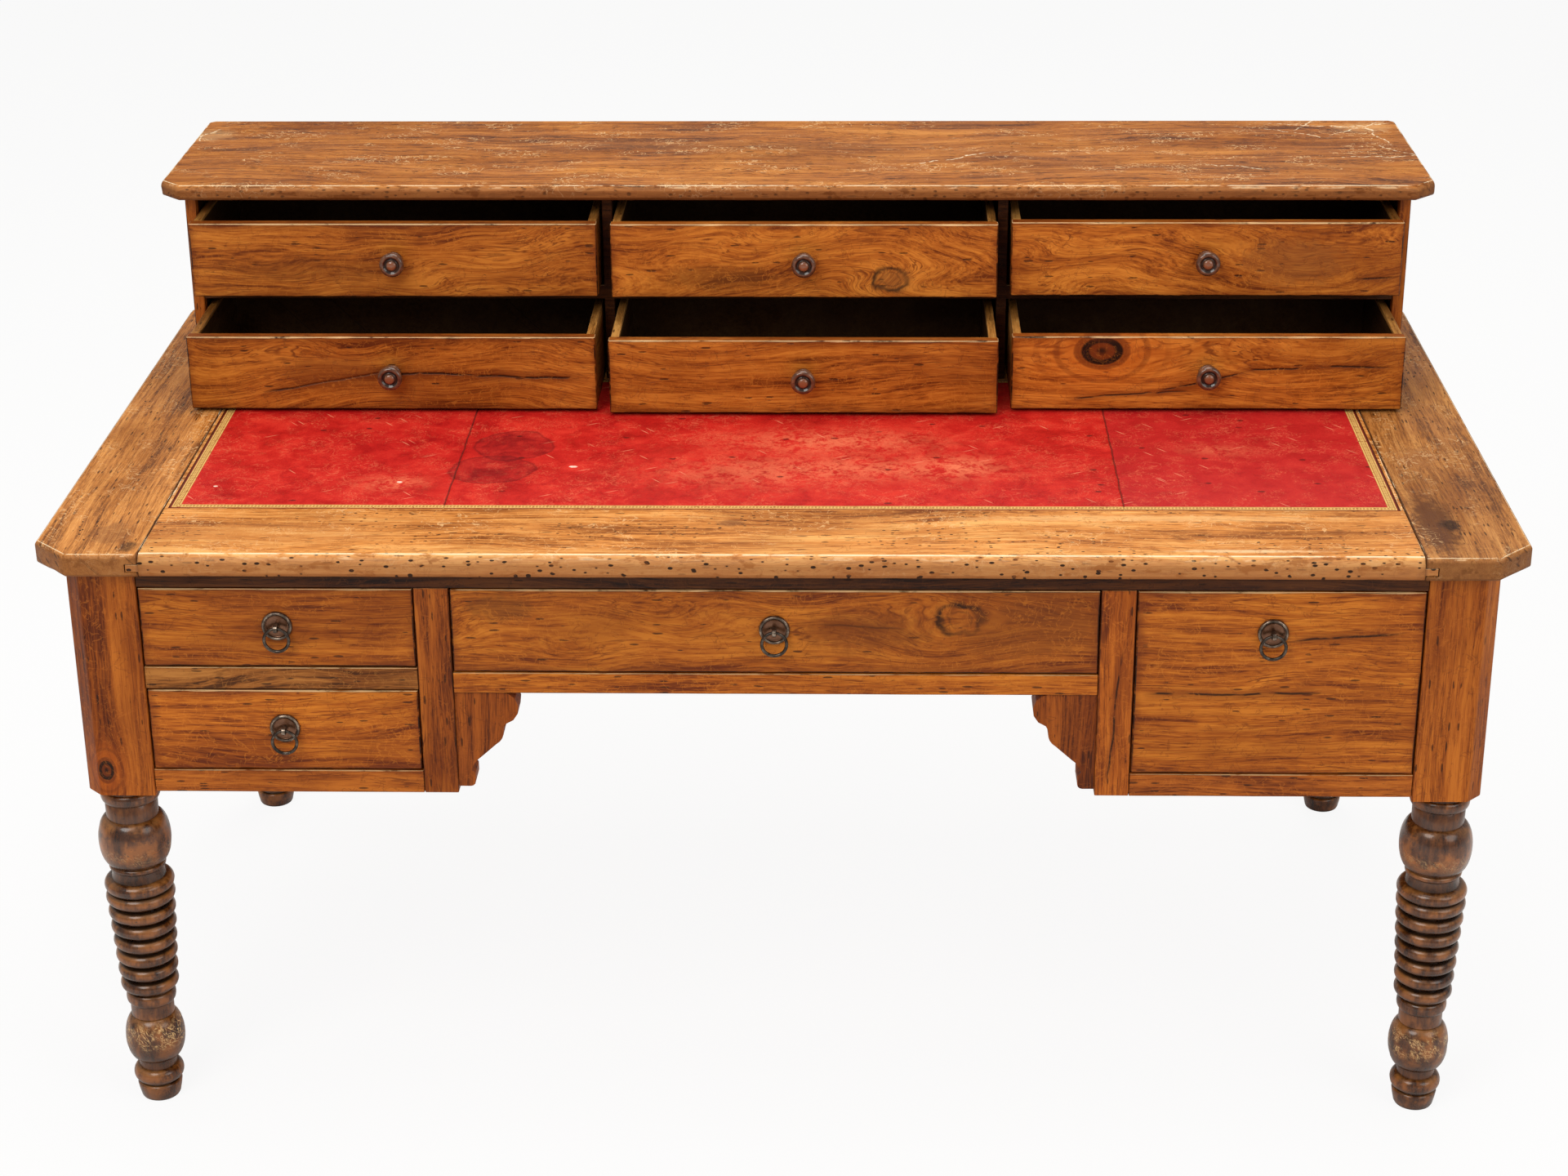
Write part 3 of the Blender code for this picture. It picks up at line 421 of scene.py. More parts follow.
        # rubbed patches on the upper part, partly a painted highlight
        self.paint(up.ridge(0.70, 0.25) * chance.ease(0.52, 0.66), (0.86, 0.60, 0.34), 0.55)
        self.paint(up.ease(0.97, 0.90) * chance.ease(0.44, 0.36), self.tones[0], 0.6)

    def wear_arris(self, dirt, wear):
        """Dirt and painted shade on all rounded edges, and pale bare wood with a painted highlight on those
        that face up.
        """
        # dirt and painted shade along every rounded edge
        self.paint(self.edge * self.chance.ease(0.66, 0.50), BLACK_MARK_AND_SHADE, dirt)
        # pale bare wood with a painted highlight on edges that face up
        self.paint(self.edge * self.up.ridge(0.66, 0.36) * self.chance.ease(0.32, 0.48), PALE, wear)

    def shade_inside(self, low, high):
        """Painted shade, near black, between two corners; a None in a corner sets no bound."""
        soft = 0.0012
        bounds = [part.ease(least - soft, least) for part, least in zip(self.axes, low) if least is not None]
        bounds += [part.ease(most + soft, most) for part, most in zip(self.axes, high) if most is not None]
        within = math.prod(bounds[1:], start=bounds[0])
        # painted shade
        self.paint(within, BLACK_MARK_AND_SHADE, 0.93)


def turned(x, y, angle):
    """Two coordinates in axes that are turned by an angle."""
    cosine, sine = math.cos(angle), math.sin(angle)
    return x * cosine + y * sine, y * cosine - x * sine


def wood(name, grain, tones, seed, across=None, figure=0.020, knots=(), eyes=(), cracks=(), stains=(),
         scratches=(), joints=(), holes=0.0, pores=0.25, mottle=0.34, scuff=0.0, wear=0.6, dirt=0.70,
         nose_shade=None, border=None, inside=None, gloss=0.44, shine=0.16, roll=1.0):
    """A wood material, with lists of marks as the methods of Wood take them.

    nose_shade is the tint of painted shade on a rounded front edge, on a board that has holes; other boards
    get worn edges, darkened with grime and painted shade, and pale with a painted highlight where they face
    up.
    """
    g = Wood(name, grain, tones, seed, across, roll)
    g.lay_figure(figure, mottle, (*knots, *eyes))
    g.add_pores(pores)
    if holes:
        g.bore_holes(holes)
    for add_mark, marks in ((g.add_knot, knots), (g.add_eye, eyes), (g.add_crack, cracks),
                            (g.add_stain, stains), (g.add_scratch, scratches)):
        for mark in marks:
            add_mark(*mark)
    g.add_curls(scuff)
    if border:
        g.dirty_rim(*border)
    for joint in joints:
        g.add_joint(*joint)
    # painted shade and highlights along the edges, together with wear and dirt
    if nose_shade:
        g.wear_nose(nose_shade, holes, wear)
    else:
        g.wear_arris(dirt, wear)
    # painted shade on the inside
    if inside:
        g.shade_inside(*inside)
    roughness = (g.cloud + g.fibre.sway(0.5)).ease(0.30, 0.72, gloss - 0.07, gloss + 0.16)
    height = g.fibre * 0.30 + g.vein * 0.35 + g.cloud * 0.9 - g.pit * 1.4 - g.scar * 0.5
    return g.finish(roughness, height, 0.0007, 0.6, shine)


def turned_wood(name, seed, warm, scratched):
    """Dark polished wood of a turned leg: painted shade, near black, in its hollows and on its undersides;
    lighter on its crests, rubbed there and with a painted highlight, and a painted sheen where it faces up.

    warm bands (height, reach, amount, tint) are rubbed to a tint, scratched ones to bare wood.
    """
    g = Surface(name)
    x, y, z = g.axes
    hollow = g.own("hollow")
    up = g.normal()[2]

    def field(scales, shift, detail, rough=0.5, twist=0.0, first=x):
        return g.noise(1.0, detail, rough, twist, g.stretch((first, y, z), scales, seed + shift))

    grain = field((230.0, 230.0, 12.0), 0.0, 3.0)
    cloud = field((40.0, 40.0, 26.0), 2.0, 4.0, 0.62)
    fleck = field((420.0, 420.0, 90.0), 4.0, 2.0)
    g.colour = g.ramp(grain * 0.34 + cloud * 0.50 + fleck * 0.16, (0.36, 0.50, 0.66), TURNED)
    height = cloud * 0.7 + grain * 0.4
    # crests lighter: rubbed wood with a painted highlight
    g.paint(hollow.ease(0.30, 0.0) * cloud.ease(0.46, 0.62), (0.31, 0.102, 0.020), 0.65)
    for level, reach, amount, tint in warm:
        band = abs(z - level).ease(reach, reach * 0.2)
        g.paint(band * field((60.0, 60.0, 70.0), level, 4.0, 0.65).ease(0.48, 0.64), tint, amount)
    for level, reach, amount in scratched:
        band = abs(z - level).ease(reach, reach * 0.35)
        stroke = field((170.0, 110.0, 95.0), level, 3.0, 0.5, 1.8, x * 0.8 + z * 0.6)
        patch = field((55.0, 55.0, 60.0), 9.0, 2.0).ease(0.40, 0.54)
        worn = band * stroke.ridge(0.5, 0.055) * patch
        g.paint(worn, (0.74, 0.46, 0.19), amount)
        height -= worn * 0.8
    g.paint(g.noise(210.0, 3.0, 0.6).ease(0.64, 0.70), BLACK_MARK_AND_SHADE, 0.7)
    # painted sheen on the sides that face up
    g.paint(up.ease(0.20, 0.70) * cloud.ease(0.36, 0.58), (0.44, 0.20, 0.055), 0.30)
    # painted shade on the sides that face down
    g.paint(up.ease(0.05, -0.60), (0.020, 0.006, 0.002), 0.78)
    # painted shade, near black, in the grooves
    g.paint(hollow.ease(0.10, 0.75), (0.008, 0.003, 0.001), 0.90)
    g.polish(0.45, 0.16)
    return g.finish(cloud.ease(0.32, 0.70, 0.24, 0.38), height, 0.0006, 0.5, 0.34)


def knob_wood(name, seed, centre):
    """Near-black polished wood with a redder button in the middle, and painted shade in the groove and on the
    neck.
    """
    g = Surface(name)
    g.face = g.axes[::2]
    cloud = g.noise(1.0, 4.0, 0.6, place=g.stretch(g.axes, (120.0, 120.0, 120.0), seed))
    g.colour = g.ramp(cloud, (0.30, 0.54, 0.78), KNOB)
    g.paint(g.spot(*centre, 0.0062, 0.0062).ease(0.30, 0.60), (0.250, 0.085, 0.034), 0.75)
    hollow = g.own("hollow")
    # painted shade in the groove round the button and on the neck
    g.paint(hollow.ease(0.2, 0.8), (0.008, 0.003, 0.002), 0.85)
    g.polish(1.0, 0.10)
    return g.finish(cloud.ease(0.35, 0.70, 0.22, 0.32) + hollow * 0.40, cloud, 0.00012, 0.3, 0.12)


def bronze(name, seed, share):
    """Dark patinated bronze with a copper-brown painted reflection of the wood in the dish; share darkens all
    but the dish.
    """
    g = Surface(name)
    cloud = g.noise(1.0, 4.0, 0.6, place=g.stretch(g.axes, (150.0, 150.0, 150.0), seed))
    g.colour = g.ramp(cloud, (0.34, 0.52, 0.70), toned(METAL, share))
    # painted reflection: the dish copper-brown, as if it mirrored the wood
    g.paint(g.own("hollow").ease(0.15, 0.65), (0.150, 0.060, 0.027), 0.90)
    g.polish(0.30, 0.14)
    g.shader.inputs["Metallic"].default_value = 0.9
    height = cloud * 0.6 + g.noise(900.0) * 0.2
    return g.finish(cloud.ease(0.30, 0.70, 0.40, 0.24), height, 0.0003, 0.25, 0.5)


def leather():
    """Worn red hide with two seams, scuffs, an ink stain and a tooled gilt border."""
    g = Surface("red_leather")
    x, y = g.face
    cloud = g.noise(6.5, 5.0, 0.62)
    mottle = g.noise(30.0, 4.0, 0.65, 0.5)
    grain = g.noise(560.0, 2.0, 0.6)
    dusty = g.noise(190.0, 3.0, 0.6)
    g.colour = g.ramp(cloud * 0.34 + mottle * 0.44 + grain * 0.22, (0.37, 0.50, 0.63), HIDE)
    g.paint(x.ease(SEAMS[1] - 0.001, SEAMS[1] + 0.001), (0.400, 0.014, 0.018), 0.45)
    ragged = (g.noise(42.0, 6.0, 0.72, 0.8) + dusty.sway(0.45)).ease(0.38, 0.60)
    for *scuff, amount in ((0.05, -0.082, 0.13, 0.040, 0.70), (0.10, -0.180, 0.16, 0.036, 0.62),
                           (0.222, -0.172, 0.040, 0.034, 0.80), (-0.487, -0.234, 0.036, 0.022, 0.75),
                           (0.55, -0.11, 0.05, 0.018, 0.40), (-0.05, -0.20, 0.12, 0.050, 0.35)):
        g.paint(g.spot(*scuff) * ragged, (0.80, 0.190, 0.090), amount)
    for cx, cy, size in ((-0.266, -0.174, 0.0050), (-0.478, -0.229, 0.0042), (-0.705, -0.245, 0.0030)):
        fleck = g.spot(cx, cy, size, size * 0.8) + dusty.sway(0.8)
        g.paint(fleck.ease(0.35, 0.6), (0.86, 0.66, 0.54))
    curl = g.noise(44.0, 4.0, 0.55, 1.4)
    g.paint(curl.ridge(0.5, 0.020) * g.noise(15.0).ease(0.44, 0.56), (0.78, 0.170, 0.085), 0.40)
    hair = g.noise(100.0, 3.0, 0.55, 1.6)
    g.paint(hair.ridge(0.5, 0.022) * g.noise(34.0).ease(0.50, 0.60), (0.84, 0.220, 0.100), 0.46)
    for angle, key in ((0.5, 1.0), (-0.9, 2.0)):
        distance, pick = g.cells(g.stretch((*turned(x, y, angle), None), (13.0, 150.0, 1.0), key))
        g.paint(distance.ease(0.16, 0.06) * pick.ease(0.95, 0.97), (0.86, 0.32, 0.18), 0.60)
    dent = curl.ridge(0.60, 0.016) * g.noise(9.0).ease(0.48, 0.60)
    g.paint(dent, (0.230, 0.006, 0.006), 0.30)
    wobble = g.noise(24.0, 3.0).sway(0.5)
    for blotch in ((-0.350, -0.098, 0.050, 0.055), (-0.366, -0.184, 0.054, 0.048)):
        radius = g.oval(*blotch).root() + wobble
        g.paint(radius.ease(1.10, 0.90), (0.130, 0.004, 0.008), mottle.ease(0.30, 0.58, 0.62, 0.30))
        g.paint(radius.ridge(0.98, 0.07), (0.090, 0.003, 0.005), 0.40)
    distance, pick = g.cells(g.stretch((x, y, None), (15.0, 24.0, 1.0), 3.0))
    dark = (distance + dusty.sway(0.1)).ease(0.085, 0.045) * pick.ease(0.78, 0.82)
    g.paint(dark, (0.080, 0.006, 0.006), 0.75)
    pull = g.noise(1.0, place=g.stretch((y, None, None), (22.0, 1.0, 1.0))).sway(0.004)
    left, right = [(x - seam).ridge(pull, 0.0018) for seam in SEAMS]
    seams = left.most(right)
    g.paint(seams, (0.060, 0.012, 0.010), 0.80)

    end = (LEATHER_X - abs(x)) * 0.85
    middle, half = sum(LEATHER_Y) / 2, (LEATHER_Y[1] - LEATHER_Y[0]) / 2
    margin = end.least(half - abs(y - middle))
    zigzag = g.math("PINGPONG", x + y, 0.0042) * 0.95
    band = margin.ease(0.0022, 0.0030) * margin.ease(0.0122, 0.0114)
    lines = margin.ridge(0.0036, 0.0012).most(margin.ridge(0.0108, 0.0012))
    chains = (margin - 0.0052).ridge(zigzag, 0.0014).most((0.0092 - margin).ridge(zigzag, 0.0014))
    rubbed = g.noise(150.0, 3.0, 0.6).ease(0.26, 0.44)
    gilt = (lines.most(chains) * 0.88 + 0.12) * band * rubbed
    g.paint(band, (0.22, 0.070, 0.014), 0.85)
    g.paint(gilt, (0.80, 0.52, 0.16))
    g.paint(margin.ease(0.0030, 0.0016), (0.070, 0.020, 0.008), 0.88)
    height = grain * 0.5 + mottle * 0.7 - seams * 1.6 - gilt * 0.5 - dent * 0.6
    return g.finish((mottle + cloud * 0.4).ease(0.45, 0.95, 0.38, 0.60), height, 0.0006, 0.55, 0.11)


def rough_noise(point, scale, seed):
    return noise.noise(Vector(point) * scale + Vector((seed, seed * 1.7, -seed)))


def pairs(items):
    """Each item of a closed ring with the next one."""
    return list(zip(items, items[1:] + items[:1]))


def circle(count):
    """Angles of points spread evenly round a circle."""
    return [2 * math.pi * i / count for i in range(count)]


def new_mesh(name, shape):
    mesh = bpy.data.meshes.new(name)
    shape.to_mesh(mesh)
    shape.free()
    return mesh


def new_object(name, data):
    thing = bpy.data.objects.new(name, data)
    bpy.context.scene.collection.objects.link(thing)
    return thing


def add_piece(name, shape, node, material):
    """Turns a shape in the frame's own coordinates into a piece that stands for a CAD node."""
    mesh = new_mesh(name, shape)
    mesh.materials.append(material)
    mesh.shade_smooth()
    piece = new_object(name, mesh)
    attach(piece, BODY_OF[node])
    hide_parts(node)
    return piece


def even_normals(piece):
    """Keeps the flat faces of a rounded board flat in the light."""
    normals = piece.modifiers.new("normals", "WEIGHTED_NORMAL")
    normals.weight = 100
    normals.keep_sharp = True


def wear_edges(shape, depth, seed):
    """Rubs the rounded edges of a shape inwards by a varying depth."""
    flat = 0.985
    shape.normal_update()
    moved = []
    for vert in shape.verts:
        total = sum((face.normal for face in vert.link_faces), Vector())
        if not vert.link_faces or total.length / len(vert.link_faces) > flat:
            continue
        slow = rough_noise(vert.co, 16.0, seed)
        quick = rough_noise(vert.co, 75.0, seed + 5.0)
        amount = max(0.0, 0.35 * slow + 0.15) + max(0.0, quick - 0.30) * 1.6
        moved.append((vert, vert.normal * (depth * amount)))
    for vert, shift in moved:
        vert.co -= shift


def worn_board(node, edges, seed, *looks, **marks):
    """A CAD board of wood with rounded, worn edges; it is cut in steps so that the rubbing of its edges can
    vary.
    """
    radius, step, depth = edges
    shape = bmesh.new()
    shape.from_mesh(NODES[node].data)
    bmesh.ops.remove_doubles(shape, verts=shape.verts, dist=1e-5)
    bmesh.ops.dissolve_limit(shape, angle_limit=math.radians(0.5), verts=shape.verts, edges=shape.edges)
    low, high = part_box(node)
    for axis in range(3):
        length = high[axis] - low[axis]
        count = int(length / step)
        direction = Vector()
        direction[axis] = 1.0
        for i in range(1, count):
            place = direction * (low[axis] + length * i / count)
            parts = shape.verts[:] + shape.edges[:] + shape.faces[:]
            bmesh.ops.bisect_plane(shape, geom=parts, dist=1e-6, plane_co=place, plane_no=direction)
    sharp = [e for e in shape.edges if len(e.link_faces) == 2 and e.calc_face_angle() > math.radians(25)]
    bmesh.ops.bevel(shape, geom=sharp, offset=radius, offset_type="OFFSET", segments=3, profile=0.5,
                    affect="EDGES", clamp_overlap=True)
    wear_edges(shape, depth, seed)
    material = wood(node + "_wood", *looks, **marks)
    even_normals(add_piece(node + "_worn", shape, node, material))


def inset_corners(outline, insets):
    """Corners of a convex outline, given anticlockwise, whose sides are moved in by the insets."""
    lines = []
    for (start, end), inset in zip(pairs(outline), insets):
        along = (Vector(end) - Vector(start)).normalized()
        lines.append((Vector(start) + Vector((-along.y, along.x)) * inset, along))
    corners = []
    for i, (q, e) in enumerate(lines):
        p, d = lines[i - 1]
        corners.append(p + d * ((q - p).cross(e) / d.cross(e)))
    return corners


def skin(shape, rings):
    """Faces between closed rings that have the same number of points."""
    for ring, following in zip(rings, rings[1:]):
        for (a, b), (c, d) in zip(pairs(ring), pairs(following)):
            shape.faces.new((a, b, d, c))


def quarter(steps):
    """Angles from 0 to a right angle."""
    return [math.pi / 2 * i / steps for i in range(steps + 1)]


def moulded(outline, shares, low, high, upper, lower, step, depth, seed, hole=None):
    """A board from low to high with rounded upper and lower edges round its outline, seen from above.

    shares tells how much of the rounding each side gets. hole is a sunk rectangle (x0, y0, x1, y1).
    """
    skin_gap = 0.0001
    levels = [(lower * (1 - math.sin(angle)), low + lower * (1 - math.cos(angle))) for angle in quarter(4)]
    levels += [(upper * (1 - math.cos(angle)), high - upper * (1 - math.sin(angle))) for angle in quarter(8)]
    counts = [max(1, int((Vector(end) - Vector(start)).length / step)) for start, end in pairs(outline)]
    shape = bmesh.new()
    rings = []
    for inset, height in levels:
        corners = inset_corners(outline, [share * inset + skin_gap for share in shares])
        ring = []
        for (corner, following), count in zip(pairs(corners), counts):
            ring += [shape.verts.new((*corner.lerp(following, k / count), height)) for k in range(count)]
        rings.append(ring)
    skin(shape, rings)
    shape.faces.new(rings[0][::-1])
    if hole:
        x0, y0, x1, y1 = hole
        border = [shape.edges.get((rings[-1][i - 1], rings[-1][i])) for i in range(len(rings[-1]))]
        rim, sunk = [[shape.verts.new((x, y, z)) for x, y in ((x0, y0), (x1, y0), (x1, y1), (x0, y1))]
                     for z in (high, high - RECESS_DEPTH)]
        border += [shape.edges.new((rim[i - 1], rim[i])) for i in range(4)]
        bmesh.ops.triangle_fill(shape, use_beauty=True, edges=border)
        skin(shape, [rim, sunk])
        shape.faces.new(sunk)
    else:
        shape.faces.new(rings[-1])
    bmesh.ops.recalc_face_normals(shape, faces=shape.faces)
    wear_edges(shape, depth, seed)
    return shape


def add_block(shape, low, high, radius=0.0004):
    """Adds a small block with eased edges to a shape."""
    verts = bmesh.ops.create_cube(shape, size=1.0)["verts"]
    low, high = Vector(low), Vector(high)
    for vert in verts:
        vert.co = (low + high) / 2 + vert.co * (high - low)
    edges = list({edge for vert in verts for edge in vert.link_edges})
    bmesh.ops.bevel(shape, geom=edges, offset=radius, segments=2, profile=0.5, affect="EDGES")


def hollows(profile, reach, depth):
    """How deep each point of a profile lies below its neighbours: 0 on crests, 1 in grooves."""
    result = []
    for radius, height in profile:
        above = max(r for r, h in profile if 0.0 <= h - height <= reach)
        below = max(r for r, h in profile if 0.0 <= height - h <= reach)
        close = max(r for r, h in profile if abs(h - height) <= reach / 3)
        groove = max(min(above, below) - radius, 0.5 * (close - radius))
        result.append(min(1.0, groove / depth))
    return result


def lathe(profile, segments, wobble, seed, deep):
    """A turned shape about Z from (radius, height) points, a little out of true.

    deep holds the hollow value of each point.
    """
    shape = bmesh.new()
    layer = shape.verts.layers.float.new("hollow")
    rings = []
    for (radius, height), hollow in zip(profile, deep):
        ring = []
        for angle in circle(segments):
            direction = Vector((math.cos(angle), math.sin(angle), 0.0))
            spot = direction * radius + Vector((0.0, 0.0, height))
            chip = max(0.0, rough_noise(spot, 70.0, seed) - 0.32) * 2.2
            spot -= direction * wobble * (0.6 + 0.6 * rough_noise(spot, 22.0, seed + 3.0) + chip)
            vert = shape.verts.new(spot)
            vert[layer] = hollow
            ring.append(vert)
        rings.append(ring)
    skin(shape, rings)
    shape.faces.new(rings[0])
    shape.faces.new(rings[-1])
    bmesh.ops.recalc_face_normals(shape, faces=shape.faces)
    return shape


def front_lathe(node, points, segments, wobble, seed, hollow_at):
    """A turned shape that stands out of a drawer's front, and the middle of its foot."""
    low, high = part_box(node)
    foot = Vector(((low.x + high.x) / 2, high.y + HANDLE_SEAT, (low.z + high.z) / 2))
    profile = curve_through(points, 4)
    shape = lathe(profile, segments, wobble, seed, [hollow_at(r, h) for r, h in profile])
    bmesh.ops.transform(shape, matrix=Matrix.Rotation(math.pi / 2, 4, "X"), verts=shape.verts)
    bmesh.ops.translate(shape, vec=foot, verts=shape.verts)
    return shape, foot


def curve_through(points, per_span):
    """A smooth profile through points (Catmull-Rom)."""
    result = []
    for i in range(len(points) - 1):
        a = Vector(points[max(i - 1, 0)])
        b, c = Vector(points[i]), Vector(points[i + 1])
        d = Vector(points[min(i + 2, len(points) - 1)])
        for k in range(per_span):
            t = k / per_span
            spot = 0.5 * ((2 * b) + (c - a) * t + (2 * a - 5 * b + 4 * c - d) * t * t
                          + (3 * b - a - 3 * c + d) * t ** 3)
            result.append((spot.x, spot.y))
    result.append(tuple(points[-1]))
    return result


def leg_profile():
    """The turned leg below its post; the rings of its shaft stand out 1 mm more than in the CAD.

    A row holds a height and two radii: top and bottom of a plain length, or root and crest of a ring,
    which has its number of steps too.
    """
    rows = [(0.007, 0.0325, 0.0341), (0.016, 0.0325, 0.0370, 12), (0.023, 0.0328, 0.0325),
            (0.064, 0.0325, 0.0450, 20), (0.009, 0.0310, 0.0355, 8), (0.012, 0.0310, 0.0342),
            (0.018, 0.0355, 0.0435, 12)]
    pitch = SHAFT_LENGTH / SHAFT_RINGS
    for i in range(SHAFT_RINGS):
        crest = 0.0432 + (0.0366 - 0.0432) * i / (SHAFT_RINGS - 1)
        rows += [(pitch * 0.84, crest - 0.0080, crest, 12), (pitch * 0.16, crest - 0.0084, crest - 0.0086)]
    rows += [(0.017, 0.0275, 0.0315, 12), (0.018, 0.0275, 0.0275), (0.064, 0.0242, 0.0378, 20),
             (0.012, 0.0242, 0.0242), (0.021, 0.0242, 0.0320, 12), (0.002, 0.0245, 0.0245)]
    profile = [(0.0325, POST_LOW + 0.003)]
    height = POST_LOW
    for size, first, second, *steps in rows:
        if steps:
            angles = [math.pi * i / steps[0] for i in range(steps[0] + 1)]
            profile += [(first + (second - first) * math.sin(a), height - size / 2 * (1 - math.cos(a)))
                        for a in angles]
        else:
            profile += [(first, height - 0.0003), (second, height - size + 0.0003)]
        height -= size
    profile.extend([(0.0278, height - 0.0008), (0.0285, height - 0.003), (0.0272, 0.012),
                    (0.0252, 0.003), (0.0240, 0.0008), (0.0228, 0.0)])
    return profile


def rounded_corners(outline, radius):
    """An outline whose corners are each cut into three short steps of an arc."""
    result = []
    for i, corner in enumerate(outline):
        corner = Vector(corner)
        before = (Vector(outline[i - 1]) - corner).normalized() * radius
        after = (Vector(outline[(i + 1) % len(outline)]) - corner).normalized() * radius
        for t in (0.0, 0.33, 0.67, 1.0):
            near = corner + before * (1 - t) ** 2 + after * t ** 2
            result.append((near.x, near.y))
    return result


def make_legs():
    """Four legs, each a post with one chamfered corner and a turned part below it."""
    profile = leg_profile()
    deep = hollows(profile, 0.010, 0.0070)
    warm = [(0.392, 0.020, 0.80, (0.050, 0.018, 0.009)), (0.362, 0.026, 0.60, (0.42, 0.130, 0.020)),
            (0.108, 0.018, 0.70, (0.060, 0.022, 0.010)), (0.030, 0.03, 0.4, (0.40, 0.130, 0.022))]
    scratched = [(0.100, 0.024, 0.95), (0.360, 0.014, 0.35)]
    for node, side, end in (("leg_front_left", -1, -1), ("leg_front_right", 1, -1),
                            ("leg_rear_left", -1, 1), ("leg_rear_right", 1, 1)):
        low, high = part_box(node)
        x = side * (TOP_HALF - POST_INSET - POST_HALF)
        y = low.y + POST_HALF if end < 0 else high.y - POST_HALF
        h, cut = POST_HALF, POST_HALF - POST_CHAMFER
        outline = [(-h, -h), (h, -h), (h, h), (-h, h)]
        corner = outline.index((side * h, end * h))
        flat = [(side * h, end * cut), (side * cut, end * h)]
        if side * end < 0:
            flat.reverse()
        outline[corner:corner + 1] = flat
        outline = [(x + dx, y + dy) for dx, dy in rounded_corners(outline, 0.0025)]
        seed = 3.0 * side + 7.0 * end
        post = moulded(outline, [1.0] * len(outline), POST_LOW, POST_HIGH, upper=0.0004, lower=0.0012,
                       step=0.02, depth=0.0007, seed=seed)
        knots = [(0.487, -0.822, 0.010)] if node == "leg_front_left" else []
        post_wood = wood(node + "_post_wood", 2, POST, 11.0 + seed, 0, knots=knots, wear=0.0, dirt=0.0,
                         figure=0.010, roll=-side * end)
        even_normals(add_piece(node + "_post", post, node, post_wood))
        shape = lathe(profile, 72, 0.0005, seed, deep)
        bmesh.ops.translate(shape, vec=(x, y, 0.0), verts=shape.verts)
        leg_wood = turned_wood(node + "_turned_wood", 20.0 + seed, warm, scratched)
        piece = add_piece(node + "_turned", shape, node, leg_wood)
        piece.data.set_sharp_from_angle(angle=math.radians(55))


def make_cleats():
    """The two end boards of the top, each with a clipped front corner and a groove for the tongue."""
    marks = {
        -1: [(-0.40, -0.80, 0.05, 0.03, (0.16, 0.05, 0.015), 0.5), (-0.44, -0.77, 0.02, 0.012, BLACK_MARK_AND_SHADE, 0.7)],
        1: [(-0.36, 0.782, 0.120, 0.032, (0.10, 0.030, 0.007), 0.90),
            (-0.362, 0.800, 0.022, 0.015, BLACK_MARK_AND_SHADE, 0.80), (-0.14, 0.80, 0.05, 0.03, (0.30, 0.11, 0.03), 0.6)]}
    for node, side, share in (("end_cleat_left", -1, 1.28), ("end_cleat_right", 1, 0.94)):
        x0, x1 = side * JOINT_X, side * TOP_HALF
        outline = [(x0, TOP_FRONT), (x1 - side * CORNER_CUT, TOP_FRONT), (x1, TOP_FRONT + CORNER_CUT),
                   (x1, TOP_BACK), (x0, TOP_BACK)]
        shares = [1.0, 1.0, 0.8, 0.4, 0.12]
        if side < 0:
            outline = [outline[0], *reversed(outline[1:])]
            shares.reverse()
        shape = moulded(outline, shares, TOP_LOW, TOP_HIGH, upper=0.0055, lower=0.004, step=0.012,
                        depth=0.0016, seed=31.0 + side)
        cleat_wood = wood(node + "_wood", 1, toned(CLEAT, share), 40.0 + 5.0 * side, 0, figure=0.012,
                          holes=0.4, scuff=0.5, wear=0.7, nose_shade=(0.28, 0.110, 0.036), stains=marks[side],
                          gloss=0.46, mottle=0.42, joints=[(0, x0, 0.0024)])
        cleat = add_piece(node + "_worn", shape, node, cleat_wood)
        groove = bmesh.new()
        reach = sorted((side * (JOINT_X - 0.02), side * (JOINT_X + TONGUE_LENGTH + 0.0012)))
        add_block(groove, (reach[0], -0.5, TONGUE[0] - GROOVE_ROOM), (reach[1], 0.5, TONGUE[1] + GROOVE_ROOM),
                  0.0001)
        cut_shape(cleat, groove)
        even_normals(cleat)


def make_panel():
    """The middle of the top, with its tongues and the recess for the leather."""
    end = JOINT_X - JOINT_GAP
    outline = [(-end, TOP_FRONT), (end, TOP_FRONT), (end, TOP_BACK), (-end, TOP_BACK)]
    half = LEATHER_X + RECESS_GAP
    hole = (-half, LEATHER_Y[0] - RECESS_GAP, half, LEATHER_Y[1] + RECESS_GAP)
    shape = moulded(outline, [1.0, 0.05, 0.3, 0.05], TOP_LOW, TOP_HIGH, upper=0.012, lower=0.006,
                    step=0.012, depth=0.0013, seed=3.0, hole=hole)
    for side in (-1, 1):
        ends = sorted((side * (JOINT_X - 0.01), side * (JOINT_X + TONGUE_LENGTH)))
        add_block(shape, (ends[0], TOP_FRONT + 0.0006, TONGUE[0]), (ends[1], TOP_BACK - 0.0006, TONGUE[1]))
    marks = [(-0.06, -0.362, 0.020, 0.014, (0.20, 0.07, 0.02), 0.7),
             (0.45, -0.345, 0.30, 0.012, (0.86, 0.50, 0.20), 0.5),
             (-0.60, -0.40, 0.16, 0.05, (0.50, 0.19, 0.05), 0.4),
             (0.55, -0.447, 0.10, 0.006, (0.90, 0.62, 0.34), 0.7)]
    band = wood("desk_top_wood", 0, BAND, 51.0, 1, figure=0.035, holes=0.85, scuff=0.45, wear=0.85,
                nose_shade=(0.44, 0.21, 0.085), stains=marks, gloss=0.42, mottle=0.42, pores=0.16,
                joints=[(0, -JOINT_X, 0.0020), (0, JOINT_X, 0.0020)])
    even_normals(add_piece("top_panel_worn", shape, "top_panel", band))


